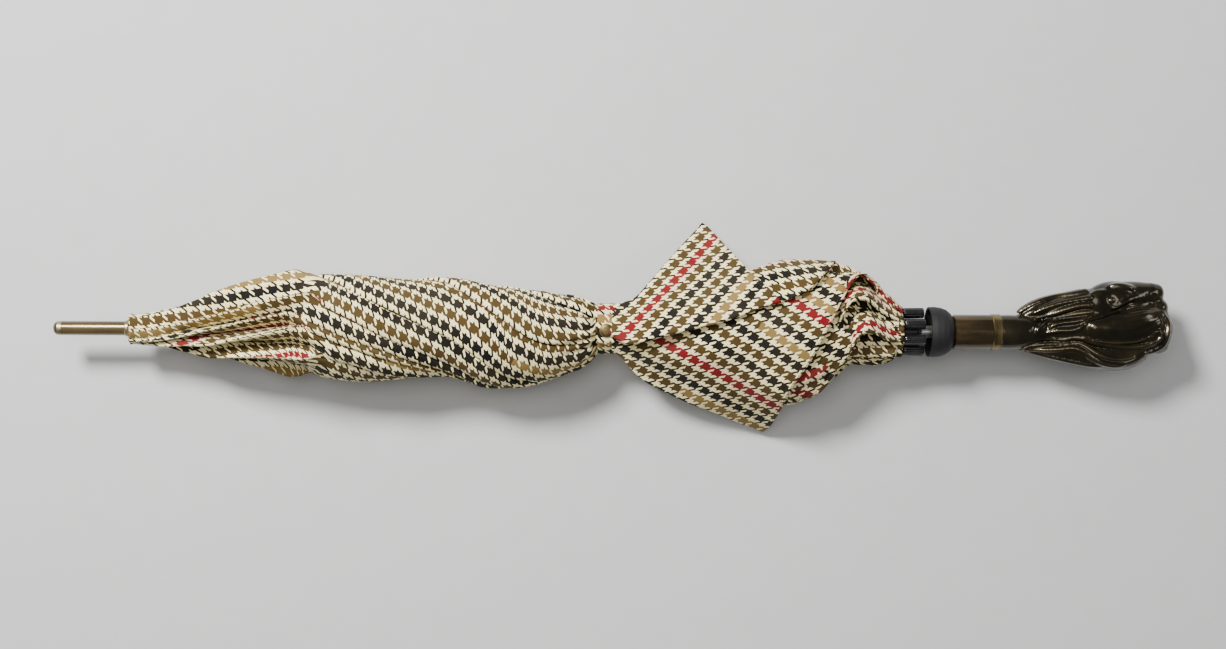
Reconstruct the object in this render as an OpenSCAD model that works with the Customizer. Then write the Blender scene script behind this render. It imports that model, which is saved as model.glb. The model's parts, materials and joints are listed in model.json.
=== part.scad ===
// Stick umbrella, closed and wound, lying on its side.
// +X runs from the ferrule to the handle, +Z is up and the floor is z = 0.
// Every length is in millimetres.

/* [Shaft] */
// Outer diameter of the steel shaft tube
shaft_d = 10; // [9.5:0.1:10]
// Wall thickness of the shaft tube
shaft_wall = 0.8; // [0.6:0.1:1]
// Height of the shaft axis over the floor, which is the wound bundle's half height
axis_z = 40; // [40:0.5:42]
// X of the crown hinges
crown_x = -383; // [-384:0.5:-382]

/* [Frame] */
// Length from the crown hinge to the mid hinge, and from the mid hinge to the runner hinge
link = 296; // [290:1:296]
// Radius of the crown hinges and of the runner hinges
hinge_r = 7.5; // [7.5:0.1:7.6]
// Length of a rib from its hinge to the end of its tip
rib_len = 633; // [630:1:634]
// Angle of a rib to the shaft when the umbrella is closed, in degrees
rest_deg = 0.79; // [0.78:0.001:0.82]
// Angle of a rib to the shaft when the umbrella is open, in degrees
open_deg = 72; // [68:1:74]
// Width of the U-shaped rib channel
rib_w = 3; // [2.8:0.1:3]
// Thickness of a stretcher bar
bar_t = 1.3; // [1:0.1:1.4]

/* [Canopy] */
// Wall of the wound cloth shell
cloth_t = 2.2; // [1.8:0.1:2.2]
// Thickness of a folded gore beside its rib
pleat_t = 0.8; // [0.6:0.1:1]
// Inner radius of the tie strap
strap_r = 18.2; // [18.2:0.1:19]
// Width of the tie strap
strap_w = 15; // [12:1:15]

/* [Handle] */
// Diameter of the neck of the handle
neck_d = 28; // [26:1:28]
// Outer diameter of the brass ring
ring_d = 29; // [29:0.5:30]
// Outer diameter of the tip cup
cup_d = 40; // [39:1:41]

/* [Hidden] */
$fn = 48;

sr = shaft_d / 2;                                  // shaft radius
bore_r = sr + 0.06;                                // bore of what sits or slides on the shaft
run_x = crown_x + 2 * link * cos(rest_deg);        // runner hinge, closed
open_x = crown_x + 2 * link * cos(open_deg);       // runner hinge, open
wire_r = 0.6;
eye_r = 0.66;
tang_t = 1.8;
run_front = 6;                                     // runner ahead of its hinge
run_back = 38;                                     // runner behind its hinge
steel = [0.62, 0.62, 0.64];
bronze = [0.20, 0.15, 0.10];
cloth = [0.93, 0.88, 0.74];
black = [0.05, 0.05, 0.05];

// Children drawn along local Z lie along +X on the shaft axis, starting at x.
module on_shaft(x) translate([x, 0, axis_z]) rotate([0, 90, 0]) children();

// Frame of rib k: X along the rib from its hinge, Z away from the shaft, Y across.
module rib_frame(k)
  translate([crown_x, 0, axis_z]) rotate([45 * k - 22.5 - 90, 0, 0])
    translate([0, 0, hinge_r]) rotate([0, -rest_deg, 0]) children();

// Frame of stretcher k: X from the mid hinge to the runner hinge.
module bar_frame(k)
  rib_frame(k) translate([link, 0, 0]) rotate([0, 2 * rest_deg, 0]) children();

// A cylinder along local Y, centred.
module cross_cyl(r, l) rotate([90, 0, 0]) cylinder(r = r, h = l, center = true);

// Eight straight lengths of wire, one through each hinge, in an octagon.
module octagon_wire(x, r) {
  side = 2 * hinge_r * tan(22.5);
  translate([x, 0, axis_z])
    for (k = [1:8]) rotate([45 * k - 22.5 - 90, 0, 0]) translate([0, 0, hinge_r]) {
      cross_cyl(r, side);
      translate([0, side / 2, 0]) sphere(r = r);
    }
}

// Closed shell through a loop of rings, each ring a list of the same number of points.
module ring_shell(rings) {
  m = len(rings);
  n = len(rings[0]);
  pts = [for (r = rings) each r];
  faces = [for (i = [0:m - 1], j = [0:n - 1]) let (
      a = i * n + j, b = i * n + (j + 1) % n,
      c = ((i + 1) % m) * n + (j + 1) % n, d = ((i + 1) % m) * n + j)
      each [[a, b, c], [a, c, d]]];
  polyhedron(points = pts, faces = faces, convexity = 6);
}

// One ring across the shaft at x: half widths to +Y and -Y, height over and under the
// axis, cut flat at height low over the floor.
function ring(x, yp, ym, zt, zb, low) = [for (j = [0:47]) let (
    a = 7.5 * j, c = cos(a), s = sin(a))
    [x, (c > 0 ? yp : ym) * c, max(axis_z + (s > 0 ? zt : zb) * s, low)]];

// Outer radius of the wound bundle, ferrule to strap.
wrap_table = [[-388, 13], [-380, 12.4], [-366, 13], [-350, 15.2], [-330, 19],
  [-310, 24.4], [-290, 28.6], [-270, 33.4], [-250, 38.6], [-235, 40.6],
  [-205, 41], [-170, 40.2], [-140, 39.2], [-120, 40.2], [-100, 41], [-85, 40],
  [-62, 36.6], [-40, 30], [-26, 24], [-14, 18.1], [2, 17.9]];
function wrap_r(x) = lookup(x, wrap_table);
wrap_in0 = 10.15;
function wrap_in(x) = max(wrap_r(x) - cloth_t, x > -30 ? 16.15 : 10.15);

// Outline of the gathered hem, strap to rib tips: x, +Y, -Y, over, under.
hem_table = [[2.4, 17.9, 17.9, 17.9, 17.9], [14, 20, 20.4, 19.6, 20],
  [30, 22.4, 24, 21.4, 26], [60, 27, 31, 24.6, 38], [90, 37, 39, 29, 40.2],
  [109, 46, 46, 33, 41], [122, 50.4, 52, 35, 41], [138, 53, 56.4, 36.5, 41],
  [152, 54, 54.6, 37.4, 41], [166, 54.4, 49, 37.6, 41], [177, 55, 40, 37.6, 41],
  [188, 51.4, 33, 36.4, 40.6], [205, 42, 29.4, 33, 37], [219, 30, 27, 28, 30],
  [232, 23.6, 23.6, 23.6, 23.6]];

module tube(r_out, r_in, h) difference() {
  cylinder(r = r_out, h = h);
  translate([0, 0, -1]) cylinder(r = r_in, h = h + 2);
}

module shaft_tube() color(steel) difference() {
  on_shaft(-436) tube(sr, sr - shaft_wall, 754);
  // cross holes of the stop pin, the handle pin and the two spring rivets
  translate([open_x - run_front - 1.5, 0, axis_z]) cross_cyl(1.22, 20);
  translate([288, 0, axis_z]) cross_cyl(1.22, 20);
  translate([-126, 0, axis_z + 2]) cross_cyl(0.62, 20);
  translate([196, 0, axis_z + 2]) cross_cyl(0.62, 20);
  // slots that the two catch springs come out of
  translate([-163, -1.1, axis_z + 2]) cube([20, 2.2, 6]);
  translate([214.5, -1.1, axis_z + 2]) cube([20, 2.2, 6]);
}

module ferrule() color([0.27, 0.23, 0.16])
  on_shaft(-442.7) tube(5.65, bore_r, 50.6);

module ferrule_cap() color([0.5, 0.46, 0.38])
  on_shaft(-450) {
    rotate_extrude() polygon([[0, 0], [2.4, 0.15], [4, 0.8], [5.1, 2.1], [5.65, 4],
      [5.65, 7.2], [5, 7.2], [5, 13], [0, 13]]);
  }

module ferrule_collar() color([0.55, 0.47, 0.32])
  on_shaft(-392) difference() {
    rotate_extrude() polygon([[0, 0], [6.1, 0], [6.6, 0.8], [6.6, 2.8], [6.1, 3.6], [0, 3.6]]);
    translate([0, 0, -1]) cylinder(r = bore_r, h = 6);
  }

module top_notch() color(black) difference() {
  on_shaft(crown_x - 3.5) tube(9.8, bore_r, 10.5);
  // slot of each rib, open outwards and towards the handle
  translate([crown_x, 0, axis_z]) for (k = [1:8]) rotate([45 * k - 22.5 - 90, 0, 0])
    translate([-2.1, -1.15, hinge_r - 1.55]) cube([20, 2.3, 8]);
  // groove of the wire
  on_shaft(crown_x - 0.75) tube(12, hinge_r - 0.75, 1.5);
}

module notch_wire() color(steel) octagon_wire(crown_x, wire_r);

module stop_pin() color(steel)
  translate([open_x - run_front - 1.5, 0, axis_z]) cross_cyl(1.2, 14);

module spring_rivets() color(steel) {
  translate([-126, 0, axis_z + 2]) cross_cyl(0.6, 8.5);
  translate([196, 0, axis_z + 2]) cross_cyl(0.6, 8.5);
}

module canopy_wrap() color(cloth) {
  out = [for (p = wrap_table) let (r = p[1]) ring(p[0], r, r, r, r, 0)];
  back = [for (i = [len(wrap_table) - 1:-1:1]) let (x = wrap_table[i][0], r = wrap_in(x))
      ring(x, r, r, r, r, cloth_t)];
  ring_shell(concat([ring(-388, 5.3, 5.3, 5.3, 5.3, 0)], out, back,
    [ring(-386.8, 10.15, 10.15, 10.15, 10.15, 0), ring(-386.8, 5.3, 5.3, 5.3, 5.3, 0)]));
}

module canopy_hem() color(cloth) {
  t = [for (i = [0:len(hem_table) - 1]) i == 0 || i == len(hem_table) - 1
      ? (i == 0 ? 1.75 : 2.3) : cloth_t];
  out = [for (p = hem_table) ring(p[0], p[1], p[2], p[3], p[4], 0)];
  back = [for (i = [len(hem_table) - 1:-1:0]) let (p = hem_table[i], w = t[i])
      ring(p[0], p[1] - w, p[2] - w, p[3] - w, p[4] - w, cloth_t)];
  ring_shell(concat(out, back));
}

// A loose corner of cloth: a thin plate through four round points.
module flap(pts, r) hull() for (p = pts) translate(p) sphere(r = r, $fn = 16);

module flap_upper() color(cloth)
  flap([[13, 24.5, 42], [40, 51, 16], [71, 83.5, 1.98], [112, 53, 10], [104, 50, 22]], 1.98);

module flap_lower() color(cloth)
  flap([[13, -25.5, 38], [54, -53, 12], [119, -79.6, 1.98], [134, -63, 3], [92, -48, 12]], 1.98);

module tip_cup() color(black) on_shaft(253.6)
  rotate_extrude($fn = 64) polygon([[cup_d / 2, 0], [cup_d / 2 + 0.2, 4.4],
    [cup_d / 2 - 0.4, 9.4], [cup_d / 2 - 2, 13.9], [cup_d / 2 - 5, 17.4], [12, 19.3],
    [bore_r, 19.3], [bore_r, 15], [10, 14.6], [14.5, 12.4], [17, 8.9],
    [cup_d / 2 - 1.8, 4.9], [cup_d / 2 - 1.6, 0]]);

module neck_sleeve() color(bronze) difference() {
  on_shaft(273.1) {
    rotate_extrude($fn = 64) polygon([[0, 0], [neck_d / 2 - 1, 0], [neck_d / 2, 1],
      [neck_d / 2, 30.3], [11.9, 30.3], [11.9, 46.4], [0, 46.4]]);
  }
  on_shaft(272) cylinder(r = bore_r, h = 60);
  translate([288, 0, axis_z]) cross_cyl(1.22, 40);
}

module brass_ring() color([0.72, 0.56, 0.3]) on_shaft(303.5) difference() {
  rotate_extrude($fn = 64) polygon([[0, 0], [ring_d / 2 - 0.8, 0], [ring_d / 2, 0.9],
    [ring_d / 2, 6.9], [ring_d / 2 - 0.8, 7.8], [0, 7.8]]);
  translate([0, 0, -1]) cylinder(r = 12, h = 10);
}

// A rounded mass through points given as [x, y, z from the axis, radius].
module mass(list) hull() for (p = list)
  translate([p[0], p[1], axis_z + p[2]]) sphere(r = p[3], $fn = 32);

module dog_head() color(bronze) difference() {
  union() {
    on_shaft(311.4) cylinder(r = neck_d / 2, h = 34);
    // throat and hair that sweeps back over the neck
    mass([[338, 4, 0, 17], [376, 2, 0, 25], [348, -2, 9, 12], [348, -2, -9, 12]]);
    // skull
    mass([[376, 12, 0, 23], [408, 15, 0, 22.5], [404, -6, 0, 24]]);
    // muzzle and nose
    mass([[408, 15, 0, 20], [436, 27, 0, 10.5], [438, 12, 0, 11]]);
    // lower hair and chin
    mass([[372, -6, 0, 22], [420, -13, 0, 19.5], [437, -6, 0, 13]]);
  }
  on_shaft(300) cylinder(r = 12, h = 20.2);
  on_shaft(300) cylinder(r = 3.05, h = 51);
}

module handle_stud() color(steel) on_shaft(296) {
  cylinder(r = sr - shaft_wall - 0.05, h = 22);
  cylinder(r = 3, h = 54);
}

module handle_pin() color(steel) translate([288, 0, axis_z]) cross_cyl(1.2, 27.6);

module rib(k) color(steel) rib_frame(k) difference() {
  union() {
    // flat tang with the hinge eye
    translate([0, -tang_t / 2, -1.3]) cube([12, tang_t, 2.6]);
    cross_cyl(1.3, tang_t);
    // channel, open towards the shaft
    difference() {
      translate([9, -rib_w / 2, -1.2]) cube([rib_len - 9 - 9, rib_w, 3.3]);
      translate([12, -rib_w / 2 + 0.5, -2]) cube([rib_len, rib_w - 1, 3.6]);
    }
  }
  cross_cyl(eye_r, 10);
  translate([link, 0, 0]) cross_cyl(eye_r, 10);
}

module rib_tip(k) color(black) rib_frame(k) difference() {
  translate([rib_len - 17, 0, 0]) rotate([0, 90, 0]) rotate_extrude($fn = 32)
    polygon([[0, 0], [3.9, 0], [4.4, 1.2], [4.4, 13], [3.7, 15.6], [2.2, 16.8], [0, 17]]);
  translate([rib_len - 18, -rib_w / 2 - 0.1, -1.3]) cube([9.2, rib_w + 0.2, 3.5]);
}

module stretcher(k) color(steel) bar_frame(k) difference() {
  union() {
    translate([0, -bar_t / 2, -1.1]) cube([link, bar_t, 2.2]);
    cross_cyl(1.3, bar_t);
    cross_cyl(wire_r, rib_w);
    translate([link, 0, 0]) cross_cyl(1.3, bar_t);
  }
  translate([link, 0, 0]) cross_cyl(eye_r, 10);
}

// One gore folded in two beside its rib.
module gore(k) color(cloth) rib_frame(k)
  translate([14, rib_w / 2 + 0.4, -1.2]) cube([594, pleat_t, 3.2]);

module runner_sleeve() color(black) difference() {
  on_shaft(run_x - run_front) difference() {
    rotate_extrude($fn = 64) polygon([[0, 0], [10.2, 0], [10.2, run_front + 2.6],
      [8.4, run_front + 4.6], [6.7, run_front + 5], [6.7, run_front + run_back - 3],
      [8.4, run_front + run_back - 2.4], [8.4, run_front + run_back], [0, run_front + run_back]]);
    translate([0, 0, -1]) cylinder(r = bore_r, h = 60);
  }
  // slot of each stretcher, open outwards and towards the ferrule
  translate([run_x, 0, axis_z]) for (k = [1:8]) rotate([45 * k - 22.5 - 90, 0, 0])
    translate([-20, -0.95, hinge_r - 1.6]) cube([21.8, 1.9, 8]);
  // groove of the wire
  on_shaft(run_x - 0.75) tube(12, hinge_r - 0.75, 1.5);
  // window of the hand spring
  translate([214.6, -1.5, axis_z + 2]) cube([19.4, 3, 8]);
}

module runner_wire() color(steel) octagon_wire(run_x, wire_r);

// A catch spring: blade, ramp and shoulder, in the XZ plane, with its eye at x = 0.
module catch_spring(dir) rotate([90, 0, 0]) linear_extrude(height = 1.4, center = true)
  difference() {
    polygon([for (p = [[-1.3, -0.8], [37, -0.8], [37, 5.3], [35.6, 5.3], [20.5, 0.6],
      [-1.3, 0.6]]) [dir * p[0], p[1]]]);
    circle(r = eye_r);
  }

module top_spring() color(steel) translate([-126, 0, axis_z + 2]) catch_spring(-1);

module hand_spring() color(steel) translate([196, 0, axis_z + 2]) catch_spring(1);

module strap_band() color(cloth) on_shaft(-strap_w / 2 - 5.5) difference() {
  tube(strap_r + 1, strap_r, strap_w);
  translate([-strap_r - 0.5, 0, strap_w / 2]) rotate([0, 90, 0]) cylinder(r = 1, h = 3, center = true);
}

module snap_stud() color([0.6, 0.48, 0.28]) translate([-5.5, 0, axis_z + strap_r + 0.3]) {
  cylinder(r = 0.95, h = 0.7);
  translate([0, 0, 0.7]) cylinder(r = 1.5, h = 1.9);
}

// Free end of the strap: an arc over the band, from the sewn root past the snap.
module strap_end() color(cloth) difference() {
  union() {
    intersection() {
      on_shaft(-strap_w / 2 - 5.5) tube(strap_r + 2.4, strap_r + 1.4, strap_w);
      translate([0, 0, axis_z]) rotate([0, -90, 0]) linear_extrude(height = 100, center = true)
        polygon([[0, 0], [40, 17], [40, -25]]);
    }
  }
  translate([-5.5, 0, axis_z]) cylinder(r = 2.3, h = 40);
}

module snap_cap() color([0.6, 0.48, 0.28]) translate([-5.5, 0, axis_z + strap_r + 2.45]) difference() {
  rotate_extrude() polygon([[0, 0], [5, 0], [5, 0.7], [4.4, 1.4], [2.8, 1.9], [0, 2]]);
  translate([0, 0, -1]) cylinder(r = 2.3, h = 1.9);
}

shaft_tube();
ferrule();
ferrule_cap();
ferrule_collar();
top_notch();
notch_wire();
stop_pin();
spring_rivets();
canopy_wrap();
canopy_hem();
flap_upper();
flap_lower();
tip_cup();
neck_sleeve();
brass_ring();
dog_head();
handle_stud();
handle_pin();
rib(1);  // rib_1
rib(2);  // rib_2
rib(3);  // rib_3
rib(4);  // rib_4
rib(5);  // rib_5
rib(6);  // rib_6
rib(7);  // rib_7
rib(8);  // rib_8
rib_tip(1);  // rib_tip_1
rib_tip(2);  // rib_tip_2
rib_tip(3);  // rib_tip_3
rib_tip(4);  // rib_tip_4
rib_tip(5);  // rib_tip_5
rib_tip(6);  // rib_tip_6
rib_tip(7);  // rib_tip_7
rib_tip(8);  // rib_tip_8
stretcher(1);  // stretcher_1
stretcher(2);  // stretcher_2
stretcher(3);  // stretcher_3
stretcher(4);  // stretcher_4
stretcher(5);  // stretcher_5
stretcher(6);  // stretcher_6
stretcher(7);  // stretcher_7
stretcher(8);  // stretcher_8
gore(1);  // gore_1
gore(2);  // gore_2
gore(3);  // gore_3
gore(4);  // gore_4
gore(5);  // gore_5
gore(6);  // gore_6
gore(7);  // gore_7
gore(8);  // gore_8
runner_sleeve();
runner_wire();
top_spring();
hand_spring();
strap_band();
snap_stud();
strap_end();
snap_cap();
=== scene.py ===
import json
import math

import bmesh
import bpy
import numpy as np
from mathutils import Matrix, Vector


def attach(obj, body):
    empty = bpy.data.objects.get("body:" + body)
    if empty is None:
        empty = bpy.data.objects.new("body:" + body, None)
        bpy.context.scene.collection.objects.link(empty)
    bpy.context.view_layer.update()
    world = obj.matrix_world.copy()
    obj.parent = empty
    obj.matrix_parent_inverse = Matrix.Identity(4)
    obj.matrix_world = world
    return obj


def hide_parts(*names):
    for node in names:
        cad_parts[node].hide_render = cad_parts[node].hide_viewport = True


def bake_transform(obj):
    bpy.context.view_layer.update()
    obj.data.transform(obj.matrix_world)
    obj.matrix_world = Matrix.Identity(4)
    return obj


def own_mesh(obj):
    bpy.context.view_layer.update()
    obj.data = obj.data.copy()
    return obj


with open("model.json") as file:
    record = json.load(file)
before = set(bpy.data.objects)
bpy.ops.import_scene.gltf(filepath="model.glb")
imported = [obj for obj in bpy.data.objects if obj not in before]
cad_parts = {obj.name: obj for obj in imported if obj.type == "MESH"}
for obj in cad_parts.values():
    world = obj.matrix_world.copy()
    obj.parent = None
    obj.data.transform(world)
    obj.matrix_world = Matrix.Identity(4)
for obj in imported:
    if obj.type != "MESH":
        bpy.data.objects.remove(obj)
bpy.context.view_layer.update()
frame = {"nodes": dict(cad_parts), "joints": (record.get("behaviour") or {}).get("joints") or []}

AZ = 0.040                       # height of the shaft's axis
K = 0.000805                     # metres for each unit of the layout grid
X0, Y0 = 613.0, 330.0            # the layout grid's origin, on the shaft's axis
P = 0.0103                       # repeat of the houndstooth
JOINTS = {j["name"]: j for j in frame["joints"]}
QMAX = math.radians(JOINTS["open"]["range_deg"][1])


def gx(px):
    return (np.asarray(px, float) - X0) * K


def gy(py):
    return (Y0 - np.asarray(py, float)) * K


def turn(x):
    """The layout grid is turned a little from the shaft's axis."""
    return 0.00037 + 0.00447 * np.asarray(x, float)


def place(px, py, z):
    """Plan position of a grid point that lies at height z."""
    f = (1.34 - z) / 1.3
    x = gx(px) * f
    return x, (0.0048 + (324.5 - np.asarray(py, float)) * K * f) + 0.00447 * x


def waves(u, v, seed, count=7, scale=1.0):
    """Smooth seeded unevenness, about -1 to 1, of two coordinates in metres."""
    rng = np.random.default_rng(seed)
    out = np.zeros(np.broadcast(u, v).shape)
    for i in range(count):
        a, f, p = rng.uniform(0, 2 * np.pi), rng.uniform(0.6, 1.6) / scale, rng.uniform(0, 2 * np.pi)
        out += np.sin(2 * np.pi * f * (np.cos(a) * u + np.sin(a) * v) + p)
    return out / math.sqrt(count * 2)


def smooth_step(a, b, x):
    t = np.clip((np.asarray(x, float) - a) / (b - a), 0, 1)
    return t * t * (3 - 2 * t)


def soft_rows(a, w=5):
    k = np.ones(w) / w
    return np.convolve(np.pad(a, w // 2, mode="edge"), k, "valid")


def soft_interp(x, xs, ys, sigma):
    """np.interp, rounded off over sigma."""
    off = np.linspace(-2, 2, 17)
    w = np.exp(-off ** 2)
    w /= w.sum()
    x = np.asarray(x, float)
    return sum(wi * np.interp(x + oi * sigma, xs, ys) for wi, oi in zip(w, off))


# ---------------------------------------------------------------- materials

def new_material(name):
    m = bpy.data.materials.new(name)
    m.use_nodes = True
    nt = m.node_tree
    bsdf = next(n for n in nt.nodes if n.type == "BSDF_PRINCIPLED")
    return m, nt, bsdf


class N:
    """Short ways to add nodes."""

    def __init__(self, nt):
        self.nt = nt

    def node(self, kind, **props):
        n = self.nt.nodes.new(kind)
        for k, v in props.items():
            setattr(n, k, v)
        return n

    def link(self, a, b):
        self.nt.links.new(a, b)

    def put(self, socket, value):
        if isinstance(value, bpy.types.NodeSocket):
            self.link(value, socket)
        else:
            socket.default_value = value

    def math(self, op, a, b=0.0, c=None):
        n = self.node("ShaderNodeMath", operation=op)
        self.put(n.inputs[0], a)
        self.put(n.inputs[1], b)
        if c is not None:
            self.put(n.inputs[2], c)
        return n.outputs[0]

    def mix(self, fac, a, b, blend="MIX"):
        n = self.node("ShaderNodeMix", data_type="RGBA", blend_type=blend)
        self.put(n.inputs[0], fac)
        self.put(n.inputs[6], a if isinstance(a, bpy.types.NodeSocket) else (*a, 1))
        self.put(n.inputs[7], b if isinstance(b, bpy.types.NodeSocket) else (*b, 1))
        return n.outputs[2]

    def noise(self, vec, scale, detail=3.0, rough=0.5, dist=0.0):
        n = self.node("ShaderNodeTexNoise")
        self.put(n.inputs["Vector"], vec)
        n.inputs["Scale"].default_value = scale
        n.inputs["Detail"].default_value = detail
        n.inputs["Roughness"].default_value = rough
        n.inputs["Distortion"].default_value = dist
        return n.outputs[0]

    def ramp(self, fac, stops):
        n = self.node("ShaderNodeValToRGB")
        self.put(n.inputs[0], fac)
        els = n.color_ramp.elements
        while len(els) < len(stops):
            els.new(0.5)
        for e, (p, c) in zip(els, stops):
            e.position, e.color = p, (*c, 1) if len(c) == 3 else c
        return n.outputs[0]

    def range(self, v, a, b, c, d):
        n = self.node("ShaderNodeMapRange")
        for i, x in enumerate((v, a, b, c, d)):
            self.put(n.inputs[i], x)
        return n.outputs[0]

    def bump(self, height, strength, distance, normal=None):
        n = self.node("ShaderNodeBump")
        self.put(n.inputs["Height"], height)
        n.inputs["Strength"].default_value = strength
        n.inputs["Distance"].default_value = distance
        if normal is not None:
            self.link(normal, n.inputs["Normal"])
        return n.outputs[0]


def srgb(r, g, b):
    return tuple(((c / 255) / 12.92 if c <= 10 else ((c / 255 + 0.055) / 1.055) ** 2.4) for c in (r, g, b))


CREAM = srgb(255, 240, 182)
BLACK = srgb(12, 12, 11)
OLIVE = srgb(66, 50, 20)
RED = srgb(112, 8, 20)
TAN = srgb(128, 103, 56)
PINK = srgb(244, 204, 172)
SPIKE = srgb(16, 13, 9)


def houndstooth(name, tan_level=0.58, seed=0.0):
    """Printed and woven houndstooth from the UV map, whose unit is a metre of cloth: u across the columns, v along them."""
    m, nt, bsdf = new_material(name)
    n = N(nt)
    uv = n.node("ShaderNodeUVMap", uv_map="cloth").outputs[0]
    wob = n.node("ShaderNodeTexNoise")
    n.link(uv, wob.inputs["Vector"])
    wob.inputs["Scale"].default_value = 1400
    wob.inputs["Detail"].default_value = 1.0
    sep = n.node("ShaderNodeSeparateXYZ")
    n.link(uv, sep.inputs[0])
    off = n.math("MULTIPLY", n.math("SUBTRACT", wob.outputs[0], 0.5), 0.10)
    u = n.math("ADD", n.math("MULTIPLY", sep.outputs[0], 1 / P), off)
    v = n.math("ADD", n.math("MULTIPLY", sep.outputs[1], 1 / P), off)
    fu = n.math("FRACT", u)
    fv = n.math("FRACT", v)
    warp = n.math("LESS_THAN", fu, 0.635)
    weft = n.math("LESS_THAN", fv, 0.635)
    tw = n.math("LESS_THAN", n.math("FRACT", n.math("MULTIPLY", n.math("SUBTRACT", u, v), 2.0)), 0.58)
    # dark where the thread on top is dark
    dark = n.math("ADD", n.math("MULTIPLY", tw, warp), n.math("MULTIPLY", n.math("SUBTRACT", 1.0, tw), weft))
    col = n.math("FLOOR", u)
    k8 = n.math("FRACT", n.math("ADD", n.math("MULTIPLY", col, 0.125), 0.0625))
    odd = n.math("GREATER_THAN", n.math("FRACT", n.math("ADD", n.math("MULTIPLY", col, 0.5), 0.25)), 0.5)
    red = n.math("LESS_THAN", k8, 0.125)
    tanv = n.node("ShaderNodeCombineXYZ")
    n.link(n.math("MULTIPLY", col, 7.31), tanv.inputs[0])
    n.link(n.math("MULTIPLY", v, 0.045), tanv.inputs[1])
    tanv.inputs[2].default_value = seed
    five = n.math("MULTIPLY", n.math("GREATER_THAN", k8, 0.625), n.math("LESS_THAN", k8, 0.75))
    level = n.math("SUBTRACT", tan_level, n.math("MULTIPLY", five, 0.16))
    tanny = n.math("MULTIPLY", n.math("GREATER_THAN", n.noise(tanv.outputs[0], 1.0, 0.0), level), odd)
    fine = n.noise(uv, 900, 2.0)
    olive = n.mix(fine, tuple(0.72 * c for c in OLIVE), tuple(1.35 * c for c in OLIVE))
    c1 = n.mix(odd, BLACK, olive)
    c2 = n.mix(tanny, c1, TAN)
    c3 = n.mix(red, c2, RED)
    body = n.mix(warp, SPIKE, c3)
    light = n.mix(n.math("MULTIPLY", red, 0.7), CREAM, PINK)
    thread = n.noise(uv, 2600, 2.0)
    light = n.mix(n.math("MULTIPLY", thread, 0.30), light, tuple(c * 0.72 for c in CREAM))
    colour = n.mix(dark, light, body)
    stain = n.noise(uv, 14, 3.0)
    colour = n.mix(n.range(stain, 0.35, 0.75, 0.0, 0.10), colour, srgb(150, 130, 95))
    n.link(colour, bsdf.inputs["Base Color"])
    # twill: fine diagonal ribs of 0.55 mm, and yarn across them
    rib = n.math("SINE", n.math("MULTIPLY", n.math("SUBTRACT", sep.outputs[0], sep.outputs[1]), 2 * math.pi / 0.00055))
    yarn = n.math("SINE", n.math("MULTIPLY", n.math("ADD", sep.outputs[0], sep.outputs[1]), 2 * math.pi / 0.00042))
    weave = n.math("ADD", n.math("MULTIPLY", rib, 0.6), n.math("MULTIPLY", yarn, 0.4))
    tooth = n.math("MULTIPLY", dark, 0.25)
    h = n.math("ADD", n.math("MULTIPLY", weave, 0.5), n.math("ADD", tooth, thread))
    nrm = n.bump(h, 0.35, 0.00012)
    n.link(nrm, bsdf.inputs["Normal"])
    bsdf.inputs["Roughness"].default_value = 0.82
    bsdf.inputs["Specular IOR Level"].default_value = 0.14
    bsdf.inputs["Sheen Weight"].default_value = 0.05
    bsdf.inputs["Sheen Roughness"].default_value = 0.45
    bsdf.inputs["Sheen Tint"].default_value = (1.0, 0.97, 0.88, 1)
    return m


def solid(name, low, high, rough=(0.3, 0.5), metallic=0.0, grain=60, bump=0.1, dist=0.0002, coat=0.0,
          wear=None, stretch=(1, 1, 1), spec=0.5, fine=900):
    """Plastic, rubber, enamel or metal: uneven colour, grain, uneven gloss and worn edges."""
    m, nt, bsdf = new_material(name)
    n = N(nt)
    co = n.node("ShaderNodeTexCoord").outputs["Object"]
    mp = n.node("ShaderNodeMapping")
    n.link(co, mp.inputs[0])
    mp.inputs["Scale"].default_value = stretch
    a = n.noise(mp.outputs[0], grain, 5.0, 0.6)
    f = n.noise(mp.outputs[0], fine, 2.0, 0.6)
    colour = n.mix(n.range(a, 0.3, 0.7, 0.0, 1.0), low, high)
    if wear is not None:
        geo = n.node("ShaderNodeNewGeometry").outputs["Pointiness"]
        edge = n.range(geo, 0.51, 0.58, 0.0, 1.0)
        edge = n.math("MULTIPLY", edge, n.range(a, 0.35, 0.6, 0.3, 1.0))
        colour = n.mix(edge, colour, wear)
    n.link(colour, bsdf.inputs["Base Color"])
    n.link(n.range(n.math("ADD", n.math("MULTIPLY", a, 0.7), n.math("MULTIPLY", f, 0.3)), 0.3, 0.7, rough[0], rough[1]),
           bsdf.inputs["Roughness"])
    bsdf.inputs["Metallic"].default_value = metallic
    bsdf.inputs["Coat Weight"].default_value = coat
    bsdf.inputs["Coat Roughness"].default_value = 0.12
    bsdf.inputs["Specular IOR Level"].default_value = spec
    n.link(n.bump(n.math("ADD", n.math("MULTIPLY", a, 0.4), n.math("MULTIPLY", f, 0.6)), bump, dist), bsdf.inputs["Normal"])
    return m


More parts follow.
